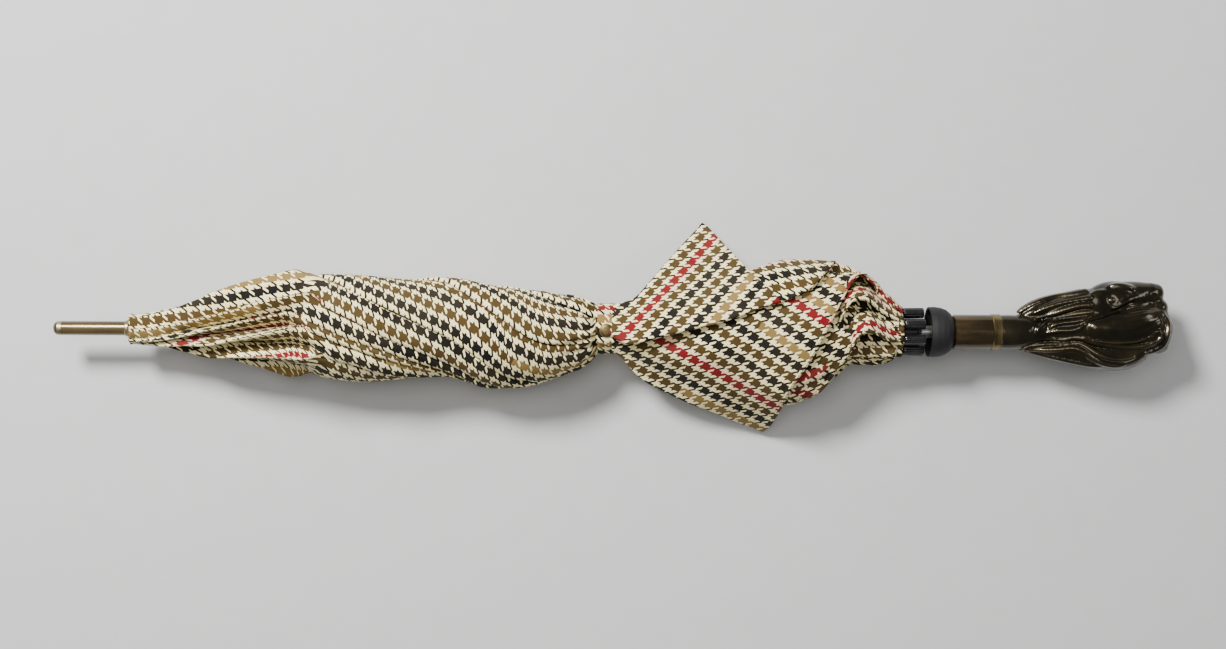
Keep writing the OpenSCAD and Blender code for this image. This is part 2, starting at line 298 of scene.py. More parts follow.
M = {}
M["cloth"] = houndstooth("canopy_houndstooth", 0.66, 0.0)
M["dome"] = houndstooth("gore_houndstooth", 0.66, 4.0)
M["strap"] = houndstooth("strap_houndstooth", 0.30, 9.0)
# stitch thread: dark brown, partly the thread's own colour and partly painted shade for the shadow line along each hem
# band's inner edge
M["thread"] = solid("hem_thread_painted_shade", srgb(38, 32, 22), srgb(72, 62, 42), (0.6, 0.8), 0, 400, 0.4, 0.0001)
M["bronze"] = solid("dark_bronze", srgb(30, 27, 18), srgb(61, 54, 36), (0.19, 0.29), 0.85, 45, 0.03, 0.0003, 0.35,
                    srgb(156, 134, 94))
M["neck"] = solid("neck_bronze", srgb(33, 28, 19), srgb(58, 49, 34), (0.18, 0.30), 0.85, 60, 0.03, 0.0002, 0.3,
                  srgb(104, 86, 58), (0.3, 1, 1))
M["brass"] = solid("ring_brass", srgb(54, 46, 28), srgb(88, 76, 48), (0.18, 0.34), 0.95, 120, 0.10, 0.0001, 0.0,
                   srgb(150, 134, 92), (1, 0.25, 0.25))
M["snap"] = solid("snap_antique_brass", srgb(70, 58, 36), srgb(110, 92, 58), (0.36, 0.55), 0.9, 500, 0.25, 0.0002, 0.0,
                  srgb(190, 160, 100))
M["tip"] = solid("tip_black", srgb(12, 12, 13), srgb(24, 23, 24), (0.16, 0.30), 0, 180, 0.05, 0.0001, 0.3)
M["cup"] = solid("cup_black", srgb(6, 6, 6), srgb(12, 12, 12), (0.56, 0.74), 0, 260, 0.22, 0.0002, 0.0)
M["ferrule"] = solid("ferrule_horn", srgb(44, 36, 22), srgb(74, 62, 40), (0.18, 0.34), 0.6, 50, 0.08, 0.0002, 0.3,
                     srgb(118, 100, 68), (0.12, 1, 1))
M["ferrule_end"] = solid("ferrule_end_metal", srgb(84, 74, 50), srgb(122, 108, 78), (0.28, 0.46), 0.85, 200, 0.15, 0.0002,
                         0.0, srgb(196, 182, 146))
M["steel"] = solid("shaft_steel", srgb(96, 94, 92), srgb(140, 138, 134), (0.22, 0.38), 0.95, 60, 0.06, 0.0001, 0.0,
                   srgb(200, 198, 192), (0.08, 1, 1))
M["wire"] = solid("bright_wire", srgb(150, 150, 150), srgb(190, 190, 188), (0.2, 0.35), 1.0, 300, 0.08, 0.0001)
M["rib"] = solid("rib_enamel", srgb(20, 20, 21), srgb(38, 37, 37), (0.28, 0.42), 0.3, 140, 0.08, 0.0001, 0.2,
                 srgb(92, 90, 88), (0.2, 1, 1))
M["nylon"] = solid("frame_nylon", srgb(22, 21, 21), srgb(40, 38, 38), (0.36, 0.52), 0, 240, 0.15, 0.0002)

PAINT = {"steel": ["shaft_tube"], "ferrule": ["ferrule"], "ferrule_end": ["ferrule_cap", "ferrule_collar"],
         "nylon": ["top_notch", "runner_sleeve"],
         "wire": ["notch_wire", "stop_pin", "spring_rivets", "runner_wire", "handle_stud", "handle_pin", "top_spring",
                  "hand_spring"],
         "snap": ["snap_stud", "snap_cap"], "tip": ["rib_tip_%d" % k for k in range(1, 9)],
         "rib": ["rib_%d" % k for k in range(1, 9)] + ["stretcher_%d" % k for k in range(1, 9)],
         "cup": ["tip_cup"], "neck": ["neck_sleeve"], "brass": ["brass_ring"], "bronze": ["dog_head"],
         "cloth": ["canopy_wrap", "canopy_hem", "flap_upper", "flap_lower"] + ["gore_%d" % k for k in range(1, 9)],
         "strap": ["strap_band", "strap_end"]}
for key, names in PAINT.items():
    for name in names:
        o = frame["nodes"][name]
        o.data.materials.clear()
        o.data.materials.append(M[key])


# ---------------------------------------------------------------- mesh helpers

def make_object(name, verts, faces, uvs=None, mat=None, smooth=True):
    """uvs holds one (u, v) for each face corner, in the faces' order."""
    me = bpy.data.meshes.new(name)
    me.from_pydata([tuple(v) for v in verts], [], faces)
    if uvs is not None:
        layer = me.uv_layers.new(name="cloth")
        layer.data.foreach_set("uv", np.asarray(uvs, np.float32).ravel())
    me.polygons.foreach_set("use_smooth", [smooth] * len(me.polygons))
    me.validate()
    me.update()
    o = bpy.data.objects.new(name, me)
    bpy.context.scene.collection.objects.link(o)
    if mat:
        me.materials.append(mat)
    return o


def grid_normals(Q, closed):
    di = np.gradient(Q, axis=0)
    if closed:
        dj = (np.roll(Q, -1, 1) - np.roll(Q, 1, 1)) / 2
    else:
        dj = np.gradient(Q, axis=1)
    n = np.cross(di, dj)
    ln = np.linalg.norm(n, axis=2, keepdims=True)
    return n / np.maximum(ln, 1e-12)


def sheet_arrays(Q, U, thick, closed=False, flip=False, base=0):
    """Closed cloth shell over the grid Q (n, m, 3): Q is its outer face. U is (n, m, 2), or (n, m, 2, 2) where each
    column has one (u, v) for the cell before it and one for the cell after it."""
    n, m = Q.shape[:2]
    nor = grid_normals(Q, closed) * (-1 if flip else 1)
    inner = Q - nor * thick
    verts = np.concatenate([Q.reshape(-1, 3), inner.reshape(-1, 3)])
    faces, uvs = [], []
    split = U.ndim == 4
    top = lambda i, j: i * m + j
    low = lambda i, j: n * m + i * m + j
    cols = range(m if closed else m - 1)

    def uv(i, j, side):
        return U[i, j, side] if split else U[i, j]

    for i in range(n - 1):
        for j in cols:
            k = (j + 1) % m
            a, b, c, d = (i, j), (i + 1, j), (i + 1, k), (i, k)
            ua, ub, uc, ud = uv(*a, 1), uv(*b, 1), uv(*c, 0), uv(*d, 0)
            q, w = [top(*a), top(*b), top(*c), top(*d)], [ua, ub, uc, ud]
            r = [low(*a), low(*d), low(*c), low(*b)]
            x = [ua, ud, uc, ub]
            if flip:
                q, w, r, x = q[::-1], w[::-1], r[::-1], x[::-1]
            faces += [q, r]
            uvs += w + x
    rim = []
    for j in cols:
        k = (j + 1) % m
        rim.append(((0, k), (0, j)))
        rim.append(((n - 1, j), (n - 1, k)))
    if not closed:
        for i in range(n - 1):
            rim.append(((i, 0), (i + 1, 0)))
            rim.append(((i + 1, m - 1), (i, m - 1)))
    for a, b in rim:
        sa, sb = (1, 0) if (a[1] + 1) % m == b[1] or a[1] == b[1] else (0, 1)
        ua, ub = uv(*a, sa), uv(*b, sb)
        q, w = [top(*b), top(*a), low(*a), low(*b)], [ub, ua, ua, ub]
        if flip:
            q, w = q[::-1], w[::-1]
        faces.append(q)
        uvs += w
    return verts, [[x + base for x in f] for f in faces], uvs


def build_sheets(name, sheets, mat):
    """One object of several closed shells, each (Q, U, thickness, closed, flip)."""
    V, F, T, base = [], [], [], 0
    for s in sheets:
        v, f, t = sheet_arrays(*s, base=base)
        V.append(v)
        F += f
        T += t
        base += len(v)
    return make_object(name, np.concatenate(V), F, T, mat)


# ---------------------------------------------------------------- the wound canopy, ferrule to strap

CONTOUR_TOP = np.array([[129, 314], [134, 316], [140, 315], [156, 312], [191, 304], [227, 295], [272, 282], [306, 275.5],
                        [325, 276], [370, 278], [400, 279], [433, 279], [468, 281], [480, 283], [508, 287], [536, 292],
                        [564, 297], [584, 301.5], [597, 306.5], [618, 307]])
CONTOUR_LOW = np.array([[129, 344], [134, 343], [143, 344], [186, 347.5], [227, 355], [263, 362], [299, 371], [334, 378],
                        [370, 380], [398, 379], [426, 376.5], [444, 375], [461, 378.5], [482, 385], [503, 386.5],
                        [522, 385.6], [550, 379], [578, 367], [597, 352.5], [618, 352]])
LINES = {
    "A": [(131, 400), (200, 385), (272, 368), (315, 360), (355, 403), (387, 423.5), (406, 434.4), (426, 447),
          (461, 466.6), (480, 476.8), (502, 497), (524, 511), (539, 524), (597, 555), (622, 560)],
    "B": [(131, 90), (200, 74), (260, 62), (314, 55), (329, 67), (357, 81), (380, 94.6), (415, 114), (448, 134.6),
          (480, 155), (540, 195), (597, 232), (622, 238)],
    "C": [(131, 146), (147, 136), (200, 98), (240, 85), (290, 77), (303, 82), (323, 89), (357, 103.7), (386, 113.6),
          (415, 129), (445, 150), (540, 215), (597, 252), (622, 258)],
    "D": [(131, 190), (184, 135), (235, 110), (295, 92), (307, 95), (329, 102.5), (357, 113), (386, 124), (415, 139),
          (447, 160), (540, 230), (597, 268), (622, 275)],
    "E": [(131, 232), (200, 168), (231, 142), (277, 130), (316, 124), (357, 134), (400, 158), (447, 185), (540, 255),
          (597, 300), (622, 305)],
    "F": [(131, 273), (231, 205), (300, 180), (400, 225), (500, 280), (597, 335), (622, 340)],
    "G": [(131, 313), (231, 255), (300, 228), (400, 290), (470, 330), (520, 360), (560, 390), (597, 410), (622, 415)],
    "H": [(131, 355), (231, 302), (300, 272), (350, 300), (433, 360), (470, 403), (499, 425), (531, 449), (546, 456),
          (562, 461), (597, 471), (622, 475)],
}
KINK = {"A": 308, "B": 316, "C": 296, "D": 303, "E": 318, "F": 305, "G": 310, "H": 305}
NAMES = "ABCDEFGH"
LAST = {"A": 7, "B": 6, "C": 7, "D": 6, "E": 6, "F": 3, "G": 7, "H": 6}      # the column that each strip ends on


def wound(px, m=26):
    """Outer surface of the wound canopy at stations px: the grid of points and its cloth coordinates."""
    px = np.asarray(px, float)
    top, low = soft_interp(px, *CONTOUR_TOP.T, 4), soft_interp(px, *CONTOUR_LOW.T, 4)
    R = (low - top) / 2 * K
    x = gx(px)
    yc = gy((low + top) / 2) + turn(x)
    lines = {}
    for key, pts in LINES.items():
        a = np.array(pts, float)
        lines[key] = np.radians(soft_interp(px, a[:, 0], a[:, 1] - (360 if key == "A" else 0), 5))
    seq = [lines[c] for c in NAMES[1:]] + [lines["A"] + 2 * np.pi]      # B..H, A
    seq = [lines["A"]] + seq                                           # A, B, ..., H, A + 360
    n = len(px)
    Q, U = [], []
    gather = smooth_step(548, 596, px)
    pinch = smooth_step(575, 597, px)
    for i in range(8):
        lo, hi = seq[i], seq[i + 1]
        kk = smooth_step(-16, 16, px - KINK[NAMES[i]])          # 0: pleats that stand up, 1: wound flat
        kn = smooth_step(-16, 16, px - KINK[NAMES[(i + 1) % 8]])
        width = (hi - lo)
        grow = smooth_step(140, 215, px)
        # s runs past the strip's end, where the fold turns under
        s = np.concatenate([np.linspace(0, 1, m), [1.0, 1.0, 1.0, 1.0]])
        strip, blends = [], []
        for idx, sj in enumerate(s):
            ext = idx - (m - 1)                                  # > 0 on the fold
            phi = lo + width * sj
            # pleats: a ridge where the strip starts, a valley where it ends
            amp = np.minimum(0.0088, R * 0.38) * grow + 0.0010 * (1 - grow)
            ha = amp * (np.cos(np.pi * np.minimum(1, sj ** 0.75)) * 0.95 - 0.15)
            deep = np.minimum(0.0046, 0.45 * width * R)
            dist = sj * width * R
            hb = 0.0006 - deep * (1 - smooth_step(0.0010, 0.0046, dist)) - 0.0018 * (1 - smooth_step(0.0, 0.6, sj)) + 0.0007 * np.sin(np.pi * sj) + 0.0006 * smooth_step(0.4, 0.86, sj) - 0.0005 * smooth_step(0.9, 1.0, sj)
            blend = kk * (1 - sj) + kn * sj
            h = ha * (1 - blend) + hb * blend
            # the fold's edge: rolls over and tucks back under the next strip
            if ext > 0:
                t = ext / 4.0
                roll = np.array([0, 0.0008, 0.0011, 0.0006, -0.0030])[ext]
                drop = np.array([0, -0.0004, -0.0016, -0.0030, -0.0044])[ext]
                nxt = amp * 0.80                                  # the next ridge's height
                hA = ha * (1 - t) + nxt * t
                pA = np.array([0, 0.2, 0.5, 0.8, 1.0])[ext] * 0.02
                h = hA * (1 - kn) + (hb + drop) * kn
                phi = phi + (pA * (1 - kn) + kn * roll / np.maximum(R, 0.008))
            h = h - 0.0006
            # gathers at the strap, and unevenness of the cloth
            fold = np.sin(phi * 13 + 2.0 * np.sin(phi * 3 + 1.0)) * 0.0019 + np.sin(phi * 23 + 0.7) * 0.0009
            h = h + gather * fold * (1 - 0.85 * smooth_step(588, 598, px)) - 0.0012 * smooth_step(588, 598, px)
            a_len = R * phi
            wob = waves(a_len * 1.0, x, 11 + i, 7, 0.055) * 0.0007 + waves(a_len - 0.5 * x, x * 0.3, 31 + i, 6, 0.016) * 0.00024
            h = h + wob * smooth_step(150, 220, px)
            r = R + h
            z = AZ + r * np.sin(phi)
            zf = 0.0006 + 0.0002 * (idx % 2)
            z = np.where(z < 0.004, zf + 0.0034 * np.exp((z - 0.004) / 0.0034), z)   # rests flat on the floor
            strip.append(np.stack([x * (1 - np.clip(z - AZ, 0, 1) / 1.3), yc + r * np.cos(phi), z], 1))
            blends.append(blend)
        Q += strip
        A = np.stack(strip, 1)                                   # stations, columns, 3
        arc = np.concatenate([np.zeros((n, 1)), np.cumsum(np.linalg.norm(np.diff(A[..., 1:], axis=1), axis=2), 1)], 1)
        e = m - 1
        ik = int(np.argmin(np.abs(px - (KINK[NAMES[i]] + KINK[NAMES[(i + 1) % 8]]) / 2)))
        wk = arc[ik, e]
        B = np.stack(blends, 1)
        if i == 0:
            B = np.ones_like(B)
        ds = np.gradient(A[:, 0], x, axis=0)                     # slopes of the strip's two edges
        de = np.gradient(A[:, e], x, axis=0)
        cross_s = A[:, min(6, e)] - A[:, 0]
        cross_s /= np.maximum(np.linalg.norm(cross_s, axis=1, keepdims=True), 1e-9)
        cross_e = A[:, e] - A[:, e - 6]
        cross_e /= np.maximum(np.linalg.norm(cross_e, axis=1, keepdims=True), 1e-9)
        ts = soft_rows((ds * cross_s).sum(1), 9)                 # drift across, for each metre along
        te = soft_rows((de * cross_e).sum(1), 9)
        ps, pe = np.arctan(ts)[:, None], np.arctan(te)[:, None]
        ua, ub = arc * np.cos(ps), wk + (arc - arc[:, e:e + 1]) * np.cos(pe)
        va, vb = arc * np.sin(ps), (arc - arc[:, e:e + 1]) * np.sin(pe)
        u = ua * (1 - B) + ub * B
        tl = soft_rows((ts + te) / 2, 9)
        vv = np.concatenate([[0], np.cumsum(np.diff(x) * np.sqrt(1 + 0.25 * (tl[1:] + tl[:-1]) ** 2))])[:, None]
        vv = vv + va * (1 - B) + vb * B + 0.0031 * i
        off = (LAST[NAMES[i]] + 0.86 + 8 * i) * P - wk
        U += [np.stack([u[:, c] + off, vv[:, c]], 1) for c in range(len(s))]
        # the strip's own start belongs to this strip; the seam cell belongs to the strip before it
    Q = np.stack(Q, 1)
    U = np.stack(U, 1)
    cols = m + 4
    S = np.stack([U, U], 2)                                      # before, after
    for i in range(8):
        j = i * cols
        prev = (j - 1) % (8 * cols)
        S[:, j, 0] = U[:, prev] + np.array([0.0006, 0.0])        # closing cell takes the last strip's cloth
    return Q, S


px_a = np.concatenate([np.arange(130, 150, 1.6), np.arange(150, 560, 2.4), np.arange(560, 617.5, 1.6)])
QA, UA = wound(px_a)
# the cloth turns in to the shaft under the ferrule's collar
cap = []
for f, dx in ((0.42, 0.0), (0.7, -0.0002), (0.9, 0.0)):
    ring = QA[0].copy()
    c = np.array([QA[0, 0, 0] - 0.0006 + dx, 0, AZ])
    ring = c + (ring - np.array([QA[0, 0, 0], 0, AZ])) * np.array([1, f, f])
    cap.append(ring)
QA = np.concatenate([np.stack(cap), QA])
UA = np.concatenate([np.repeat(UA[:1], 3, 0), UA])
for i, d in enumerate((0.0075, 0.004, 0.0013)):
    UA[i, :, :, 1] -= d
wrap = build_sheets("wound_canopy", [(QA, UA, 0.0007, True, False)], M["cloth"])

PIECES = {"wrap": wrap}


# ---------------------------------------------------------------- the loose cloth between strap and tips

CORE_TOP = np.array([[612, 306.5], [620, 306.5], [640, 302], [680, 292], [720, 280], [748, 270.5], [762, 267], [781, 262],
                     [812, 263.5], [835, 262], [849, 268], [868, 278], [889, 296], [902, 307], [908, 309]], float)
CORE_LOW = np.array([[612, 352], [620, 353], [640, 362], [680, 375], [720, 389], [760, 400], [784, 404], [798, 401],
                     [819, 393], [832, 379], [840, 368], [853, 363], [868, 363.5], [887, 362.5], [902, 352], [908, 350]], float)
CORE_OVER = np.array([[612, 17.6], [630, 19], [650, 20.6], [687, 23.6], [725, 27.8], [748, 31.2], [764, 33], [784, 34.6],
                      [802, 35.6], [819, 35.2], [834, 31], [846, 25], [868, 21.5], [885, 19.5], [901, 19.0], [908, 18.8]], float)
CORE_UNDER = np.array([[612, 17.8], [630, 19.6], [650, 25], [687, 37], [725, 39.4], [850, 39.4], [868, 34], [885, 26],
                       [901, 21.8], [908, 20.4]], float)


def core_section(px):
    top = soft_interp(px, *CORE_TOP.T, 3)
    low = soft_interp(px, *CORE_LOW.T, 3)
    over = soft_interp(px, *CORE_OVER.T, 3) / 1000
    under = soft_interp(px, *CORE_UNDER.T, 3) / 1000
    return gy((top + low) / 2) + turn(gx(px)), (low - top) / 2 * K, over, under


def core_point(px, phi, extra=0.0):
    yc, A, over, under = core_section(px)
    B = np.where(np.sin(phi) >= 0, over, under)
    y = yc + (A + extra) * np.cos(phi)
    z = AZ + (B + extra) * np.sin(phi)
    return y, z


def on_floor(z, layer=0.0):
    return np.where(z < 0.004, 0.0006 + layer + 0.0034 * np.exp((z - 0.004) / 0.0034), z)


def core_height(px, y):
    yc, A, over, under = core_section(px)
    c = (y - yc) / A
    inside = AZ + over * np.sqrt(np.clip(1 - c ** 2, 0, 1))
    out = AZ - (np.abs(c) - 1) * A * 1.6
    return np.where(np.abs(c) < 1, inside, out)


def curve(points, n, extra=0.0):
    """Smooth polyline through points (Catmull-Rom), n samples even in length."""
    p = np.asarray(points, float)
    q = np.vstack([2 * p[0] - p[1], p, 2 * p[-1] - p[-2]])
    out = []
    for i in range(1, len(q) - 2):
        t = np.linspace(0, 1, 24, endpoint=False)[:, None]
        a, b, c, d = q[i - 1], q[i], q[i + 1], q[i + 2]
        out.append(0.5 * (2 * b + (c - a) * t + (2 * a - 5 * b + 4 * c - d) * t ** 2 + (3 * b - a - 3 * c + d) * t ** 3))
    out = np.vstack(out + [p[-1:]])
    s = np.concatenate([[0], np.cumsum(np.linalg.norm(np.diff(out, axis=0), axis=1))])
    g = np.linspace(0, s[-1], n)
    return np.stack([np.interp(g, s, out[:, j]) for j in range(p.shape[1])], 1)


def coons(c0, c1, d0, d1):
    """c0, c1 run along s at t = 0, 1; d0, d1 run along t at s = 0, 1."""
    ns, nt = len(c0), len(d0)
    s = np.linspace(0, 1, ns)[:, None, None]
    t = np.linspace(0, 1, nt)[None, :, None]
    ruled = (1 - t) * c0[:, None] + t * c1[:, None]
    other = (1 - s) * d0[None] + s * d1[None]
    corner = ((1 - s) * (1 - t) * c0[0] + (1 - s) * t * c1[0] + s * (1 - t) * c0[-1] + s * t * c1[-1])
    return ruled + other - corner


def smax(a, b, k):
    h = np.clip(0.5 + 0.5 * (a - b) / k, 0, 1)
    return b * (1 - h) + a * h + k * h * (1 - h)


def taut(x, y, z):
    """Cloth pulled straight over the hollows: the upper envelope of each row, a little rounded."""
    out = z.copy()
    for i in range(len(z)):
        d = np.concatenate([[0], np.cumsum(np.hypot(np.diff(x[i]), np.diff(y[i])))])
        hull = []
        for p in zip(d, z[i]):
            while len(hull) > 1 and ((hull[-1][1] - hull[-2][1]) * (p[0] - hull[-2][0])
                                     <= (p[1] - hull[-2][1]) * (hull[-1][0] - hull[-2][0])):
                hull.pop()
            hull.append(p)
        h = np.array(hull)
        out[i] = np.interp(d, h[:, 0], h[:, 1])
    body = np.stack([soft_rows(out[i], 5) for i in range(len(z))])
    body[:, :2], body[:, -2:] = out[:, :2], out[:, -2:]
    return np.stack([soft_rows(body[:, j], 5) for j in range(z.shape[1])], 1)


def flap(fold, crease, start, hem, over, ns, nt, seed, lane, gap=0.0028, under=True, high=0.0, lift=0.0, hemw=0.0036, tuck=True,
         wrinkle=0.0012, soft=0.006):
    """A loose gore corner, folded double. Each of the four edges is a list of (px, py, height in mm); the flap lies over
    the bundle by `over`. Returns the sheet and the line of its hem stitches."""
    c0, c1 = curve(fold, ns), curve(crease, ns)
    d0, d1 = curve(start, nt), curve(hem, nt)
    G = coons(c0, c1, d0, d1)
    px = G[..., 0]
    tt = np.linspace(0, 1, nt)[None, :]
    ss = np.linspace(0, 1, ns)[:, None]
    x, y = place(px, G[..., 1], G[..., 2] / 1000)
    for _ in range(3):
        z = smax(G[..., 2] / 1000, core_height(x / K + X0, y) + over * (0.25 + 0.75 * smooth_step(0.02, 0.28, ss)) + high * (1 - tt) ** 1.5 * (1 - 0.35 * ss) + lift * smooth_step(0.72, 1.0, ss), soft)
        x, y = place(px, G[..., 1], z)
    for _ in range(2):
        z = taut(x, y, z)
        x, y = place(px, G[..., 1], z)
    # keep the edges where they are said to be when the bundle isn't under them
    s = np.linspace(0, 1, ns)[:, None] * np.ones((1, nt))
    t = np.linspace(0, 1, nt)[None, :] * np.ones((ns, 1))
    wob = waves(x, y, seed, 7, 0.045) * wrinkle + waves(x + y, (x - y) * 0.25, seed + 5, 6, 0.018) * wrinkle * 0.35
    env = smooth_step(0, 0.15, s)
    z = z + wob * env
    # long soft folds that run out from the strap
    z = z + 0.0011 * np.sin(t * 11 + seed) * smooth_step(0, 0.12, s) * (1 - smooth_step(0.25, 0.85, s))
    z = on_floor(z, 0.0004 + gap * 0.7)
    T = np.stack([x, y, z], 2)
    nor = grid_normals(T, False)
    if nor[..., 2].mean() < 0:
        nor = -nor
    # the cloth's columns run straight along `lane`, (px, py) to (px, py); the red one lies on it
    ax, ay = place(*lane[0], 0.055)
    bx, by = place(*lane[1], 0.055)
    cl = np.array([bx - ax, by - ay]) / math.hypot(bx - ax, by - ay)
    cn = np.array([-cl[1], cl[0]])
    pn = (x - ax) * cn[0] + (y - ay) * cn[1]
    if pn[:, -1].mean() > pn[:, 0].mean():
        cn, pn = -cn, -pn
    pa = (x - ax) * cl[0] + (y - ay) * cl[1]
    dn, dz = np.diff(pn[:, ::-1], axis=1), np.diff(z[:, ::-1], axis=1)
    more = np.concatenate([np.zeros((ns, 1)), np.cumsum(np.sqrt(dn ** 2 + dz ** 2) - np.abs(dn), 1)], 1)[:, ::-1]
    more = np.stack([soft_rows(more[:, j], 21) for j in range(nt)], 1)
    kz = np.argmin(np.abs(pn), 1)
    more -= soft_rows(more[np.arange(ns), kz], 21)[:, None]
    u = pn + 0.5 * more + 0.27 * P
    v = pa
    step = np.linalg.norm(np.diff(T[:, ::-1], axis=1), axis=2)
    across = np.concatenate([np.zeros((ns, 1)), np.cumsum(step, 1)], 1)[:, ::-1]
    # the hem: turned over twice, so it stands a little proud
    rest = np.concatenate([[0], np.cumsum(np.linalg.norm(np.diff(T[:, nt // 2], axis=0), axis=1))])
    lengths = np.concatenate([np.zeros((1, nt)), np.cumsum(np.linalg.norm(np.diff(T, axis=0), axis=2), 0)])
    to_hem = lengths[-1][None] - lengths
    T = T + nor * (0.00045 * (1 - smooth_step(hemw * 0.88, hemw * 1.12, to_hem)))[..., None]
    cols_p, cols_u, cols_v = [], [], []
    out = -(np.gradient(T, axis=1))
    out /= np.linalg.norm(out, axis=2, keepdims=True)

    def add(p, uu, vv):
        cols_p.append(p)
        cols_u.append(uu)
        cols_v.append(vv)

    g = gap / 2
    if tuck:                                             # the rolled fold at t = 0
        base, dirn, n0 = T[:, 0], out[:, 0], nor[:, 0]
        for q in (3.2, 2.0, 1.0):
            add(base - dirn * g * q - n0 * gap, u[:, 0] + g * (q + 1.6), v[:, 0])
        for a in (150, 120, 90, 60, 30):
            r = math.radians(a)
            add(base + dirn * g * math.sin(r) * 0.9 - n0 * g * (1 - math.cos(r)), u[:, 0] + g * r, v[:, 0])
    for j in range(nt):
        add(T[:, j], u[:, j], v[:, j])
    if under:                                            # the roll at the crease, and the layer below
        base, dirn, n1 = T[:, -1], -out[:, -1], nor[:, -1]
        for a in (30, 60, 90, 120, 150):
            r = math.radians(a)
            add(base + dirn * g * math.sin(r) * 0.9 - n1 * g * (1 - math.cos(r)), u[:, -1] - g * r, v[:, -1])
        for j in range(nt - 1, int(nt * 0.12), -1):
            k = smooth_step(0, 0.5, (nt - 1 - j) / nt)
            low = T[:, j] - nor[:, j] * (gap * (1 + 0.5 * k * np.sin(seed + 5 * s[:, j])))[:, None]
            low[:, 2] = on_floor(low[:, 2], 0.0)
            shrink = 0.0030 * smooth_step(0.8, 1.0, s[:, j]) * (0.4 + 0.6 * np.sin(seed + j * 0.15))
            low = low - np.gradient(T[:, j], axis=0) / np.maximum(np.linalg.norm(np.gradient(T[:, j], axis=0), axis=1), 1e-9)[:, None] * shrink[:, None]
            add(low, u[:, -1] - g * math.pi - (u[:, j] - u[:, -1]), v[:, j])
    Q = np.stack(cols_p, 1)
    U = np.stack([np.stack(cols_u, 1), np.stack(cols_v, 1)], 2)
    lines = []
    for d in (hemw, 0.0006 + hemw * 0.28):
        line = np.array([[np.interp(lengths[-1, j] - d, lengths[:, j], T[:, j, i]) for i in range(3)] for j in range(nt)])
        line += nor[-3] * 0.00018
        lines.append(line)
    return (Q, U, 0.0006, False, False), lines


def orient(sheet):
    """Sheets are drawn with the outer face up."""
    Q, U, t, closed, flip = sheet
    n = grid_normals(Q, closed)
    h = Q.shape[1] // 3
    up = n[:, h:2 * h, 2].mean()
    return (Q, U, t, closed, bool(up < 0))


def stitch(lines, length=0.0021, gap=0.0007, radius=0.00016):
    """Lines of separate stitches, each a small bent bar."""
    V, F = [], []
    for line in lines:
        s = np.concatenate([[0], np.cumsum(np.linalg.norm(np.diff(line, axis=0), axis=1))])
        a = 0.001
        while a + length < s[-1] - 0.001:
            pts = np.array([[np.interp(q, s, line[:, i]) for i in range(3)] for q in np.linspace(a, a + length, 4)])
            d = pts[-1] - pts[0]
            d /= max(np.linalg.norm(d), 1e-9)
            side = np.cross(d, [0, 0, 1.0])
            side /= max(np.linalg.norm(side), 1e-9)
            up = np.cross(side, d)
            b = len(V)
            for i, p in enumerate(pts):
                r = radius * (0.35 if i in (0, 3) else 1.0)
                lift = -radius if i in (0, 3) else radius * 0.4
                for a6 in range(5):
                    w = 2 * math.pi * a6 / 5
                    V.append(p + side * r * 1.25 * math.cos(w) + up * (r * math.sin(w) + lift))
            for i in range(3):
                for a6 in range(5):
                    c = (a6 + 1) % 5
                    F.append([b + 5 * i + a6, b + 5 * i + c, b + 5 * (i + 1) + c, b + 5 * (i + 1) + a6])
            F.append([b + 4 - q for q in range(5)])
            F.append([b + 15 + q for q in range(5)])
            a += length + gap
    return V, F


threads = []

f1, st = flap(
    fold=[(612, 333, 60), (628, 341, 63), (652, 336, 68), (676, 330, 72), (726, 318, 77), (761, 305, 80), (780, 300, 80)],
    crease=[(612, 306, 49), (621, 303, 47), (633, 299, 45), (646, 286, 40), (667, 262, 30), (685, 242, 18), (702.5, 223, 5.0)],
    start=[(612, 333, 60), (612, 320, 57), (612, 306, 49)],
    hem=[(780, 300, 80), (767, 286, 73), (759, 279, 62), (748, 270, 52), (733, 254, 36), (719, 239, 21), (708, 227, 9),
         (702.5, 223, 5.0)],
    over=0.0062, ns=70, nt=44, seed=3, lane=((627.7, 329.5), (651.9, 303.7)), gap=0.0040, high=0.0115, lift=0.0022)
threads += st
f3, st = flap(
    fold=[(640, 325, 55), (690, 318, 60), (730, 309, 66), (766, 300, 73)],
    crease=[(640, 300, 46), (690, 287, 44), (730, 277, 42), (750, 271, 41), (782, 260.5, 38), (812, 260.5, 36), (835, 262, 34)],
    start=[(640, 325, 55), (640, 312, 51), (640, 300, 46)],
    hem=[(766, 300, 74), (790, 299, 76), (812, 287, 68), (826, 272, 52), (835, 262, 34)],
    over=0.0068, ns=44, nt=30, seed=8, lane=((752, 262), (805, 253)), gap=0.0020, lift=0.0040, wrinkle=0.0008, tuck=False)
threads += st
f2, st = flap(
    fold=[(612, 326, 57), (692, 313, 60), (760, 292, 63), (815, 272, 53), (855, 277, 50)],
    crease=[(612, 352, 51), (621, 357, 48), (644, 380, 42), (682, 400, 33), (713, 412, 24), (740, 423, 14), (763.5, 431.5, 5.0)],
    start=[(612, 326, 57), (612, 340, 56), (612, 352, 51)],
    hem=[(855, 277, 58), (845, 295, 71), (835, 315, 77), (819, 347, 74), (808, 366, 62), (793, 387, 40), (783, 406, 22),
         (772, 424, 9.0), (763.5, 431.5, 5.0)],
    over=0.0010, ns=84, nt=64, seed=14, lane=((679, 352), (776, 407)), gap=0.0020, lift=0.0026, wrinkle=0.0009, soft=0.012, tuck=False)
threads += st
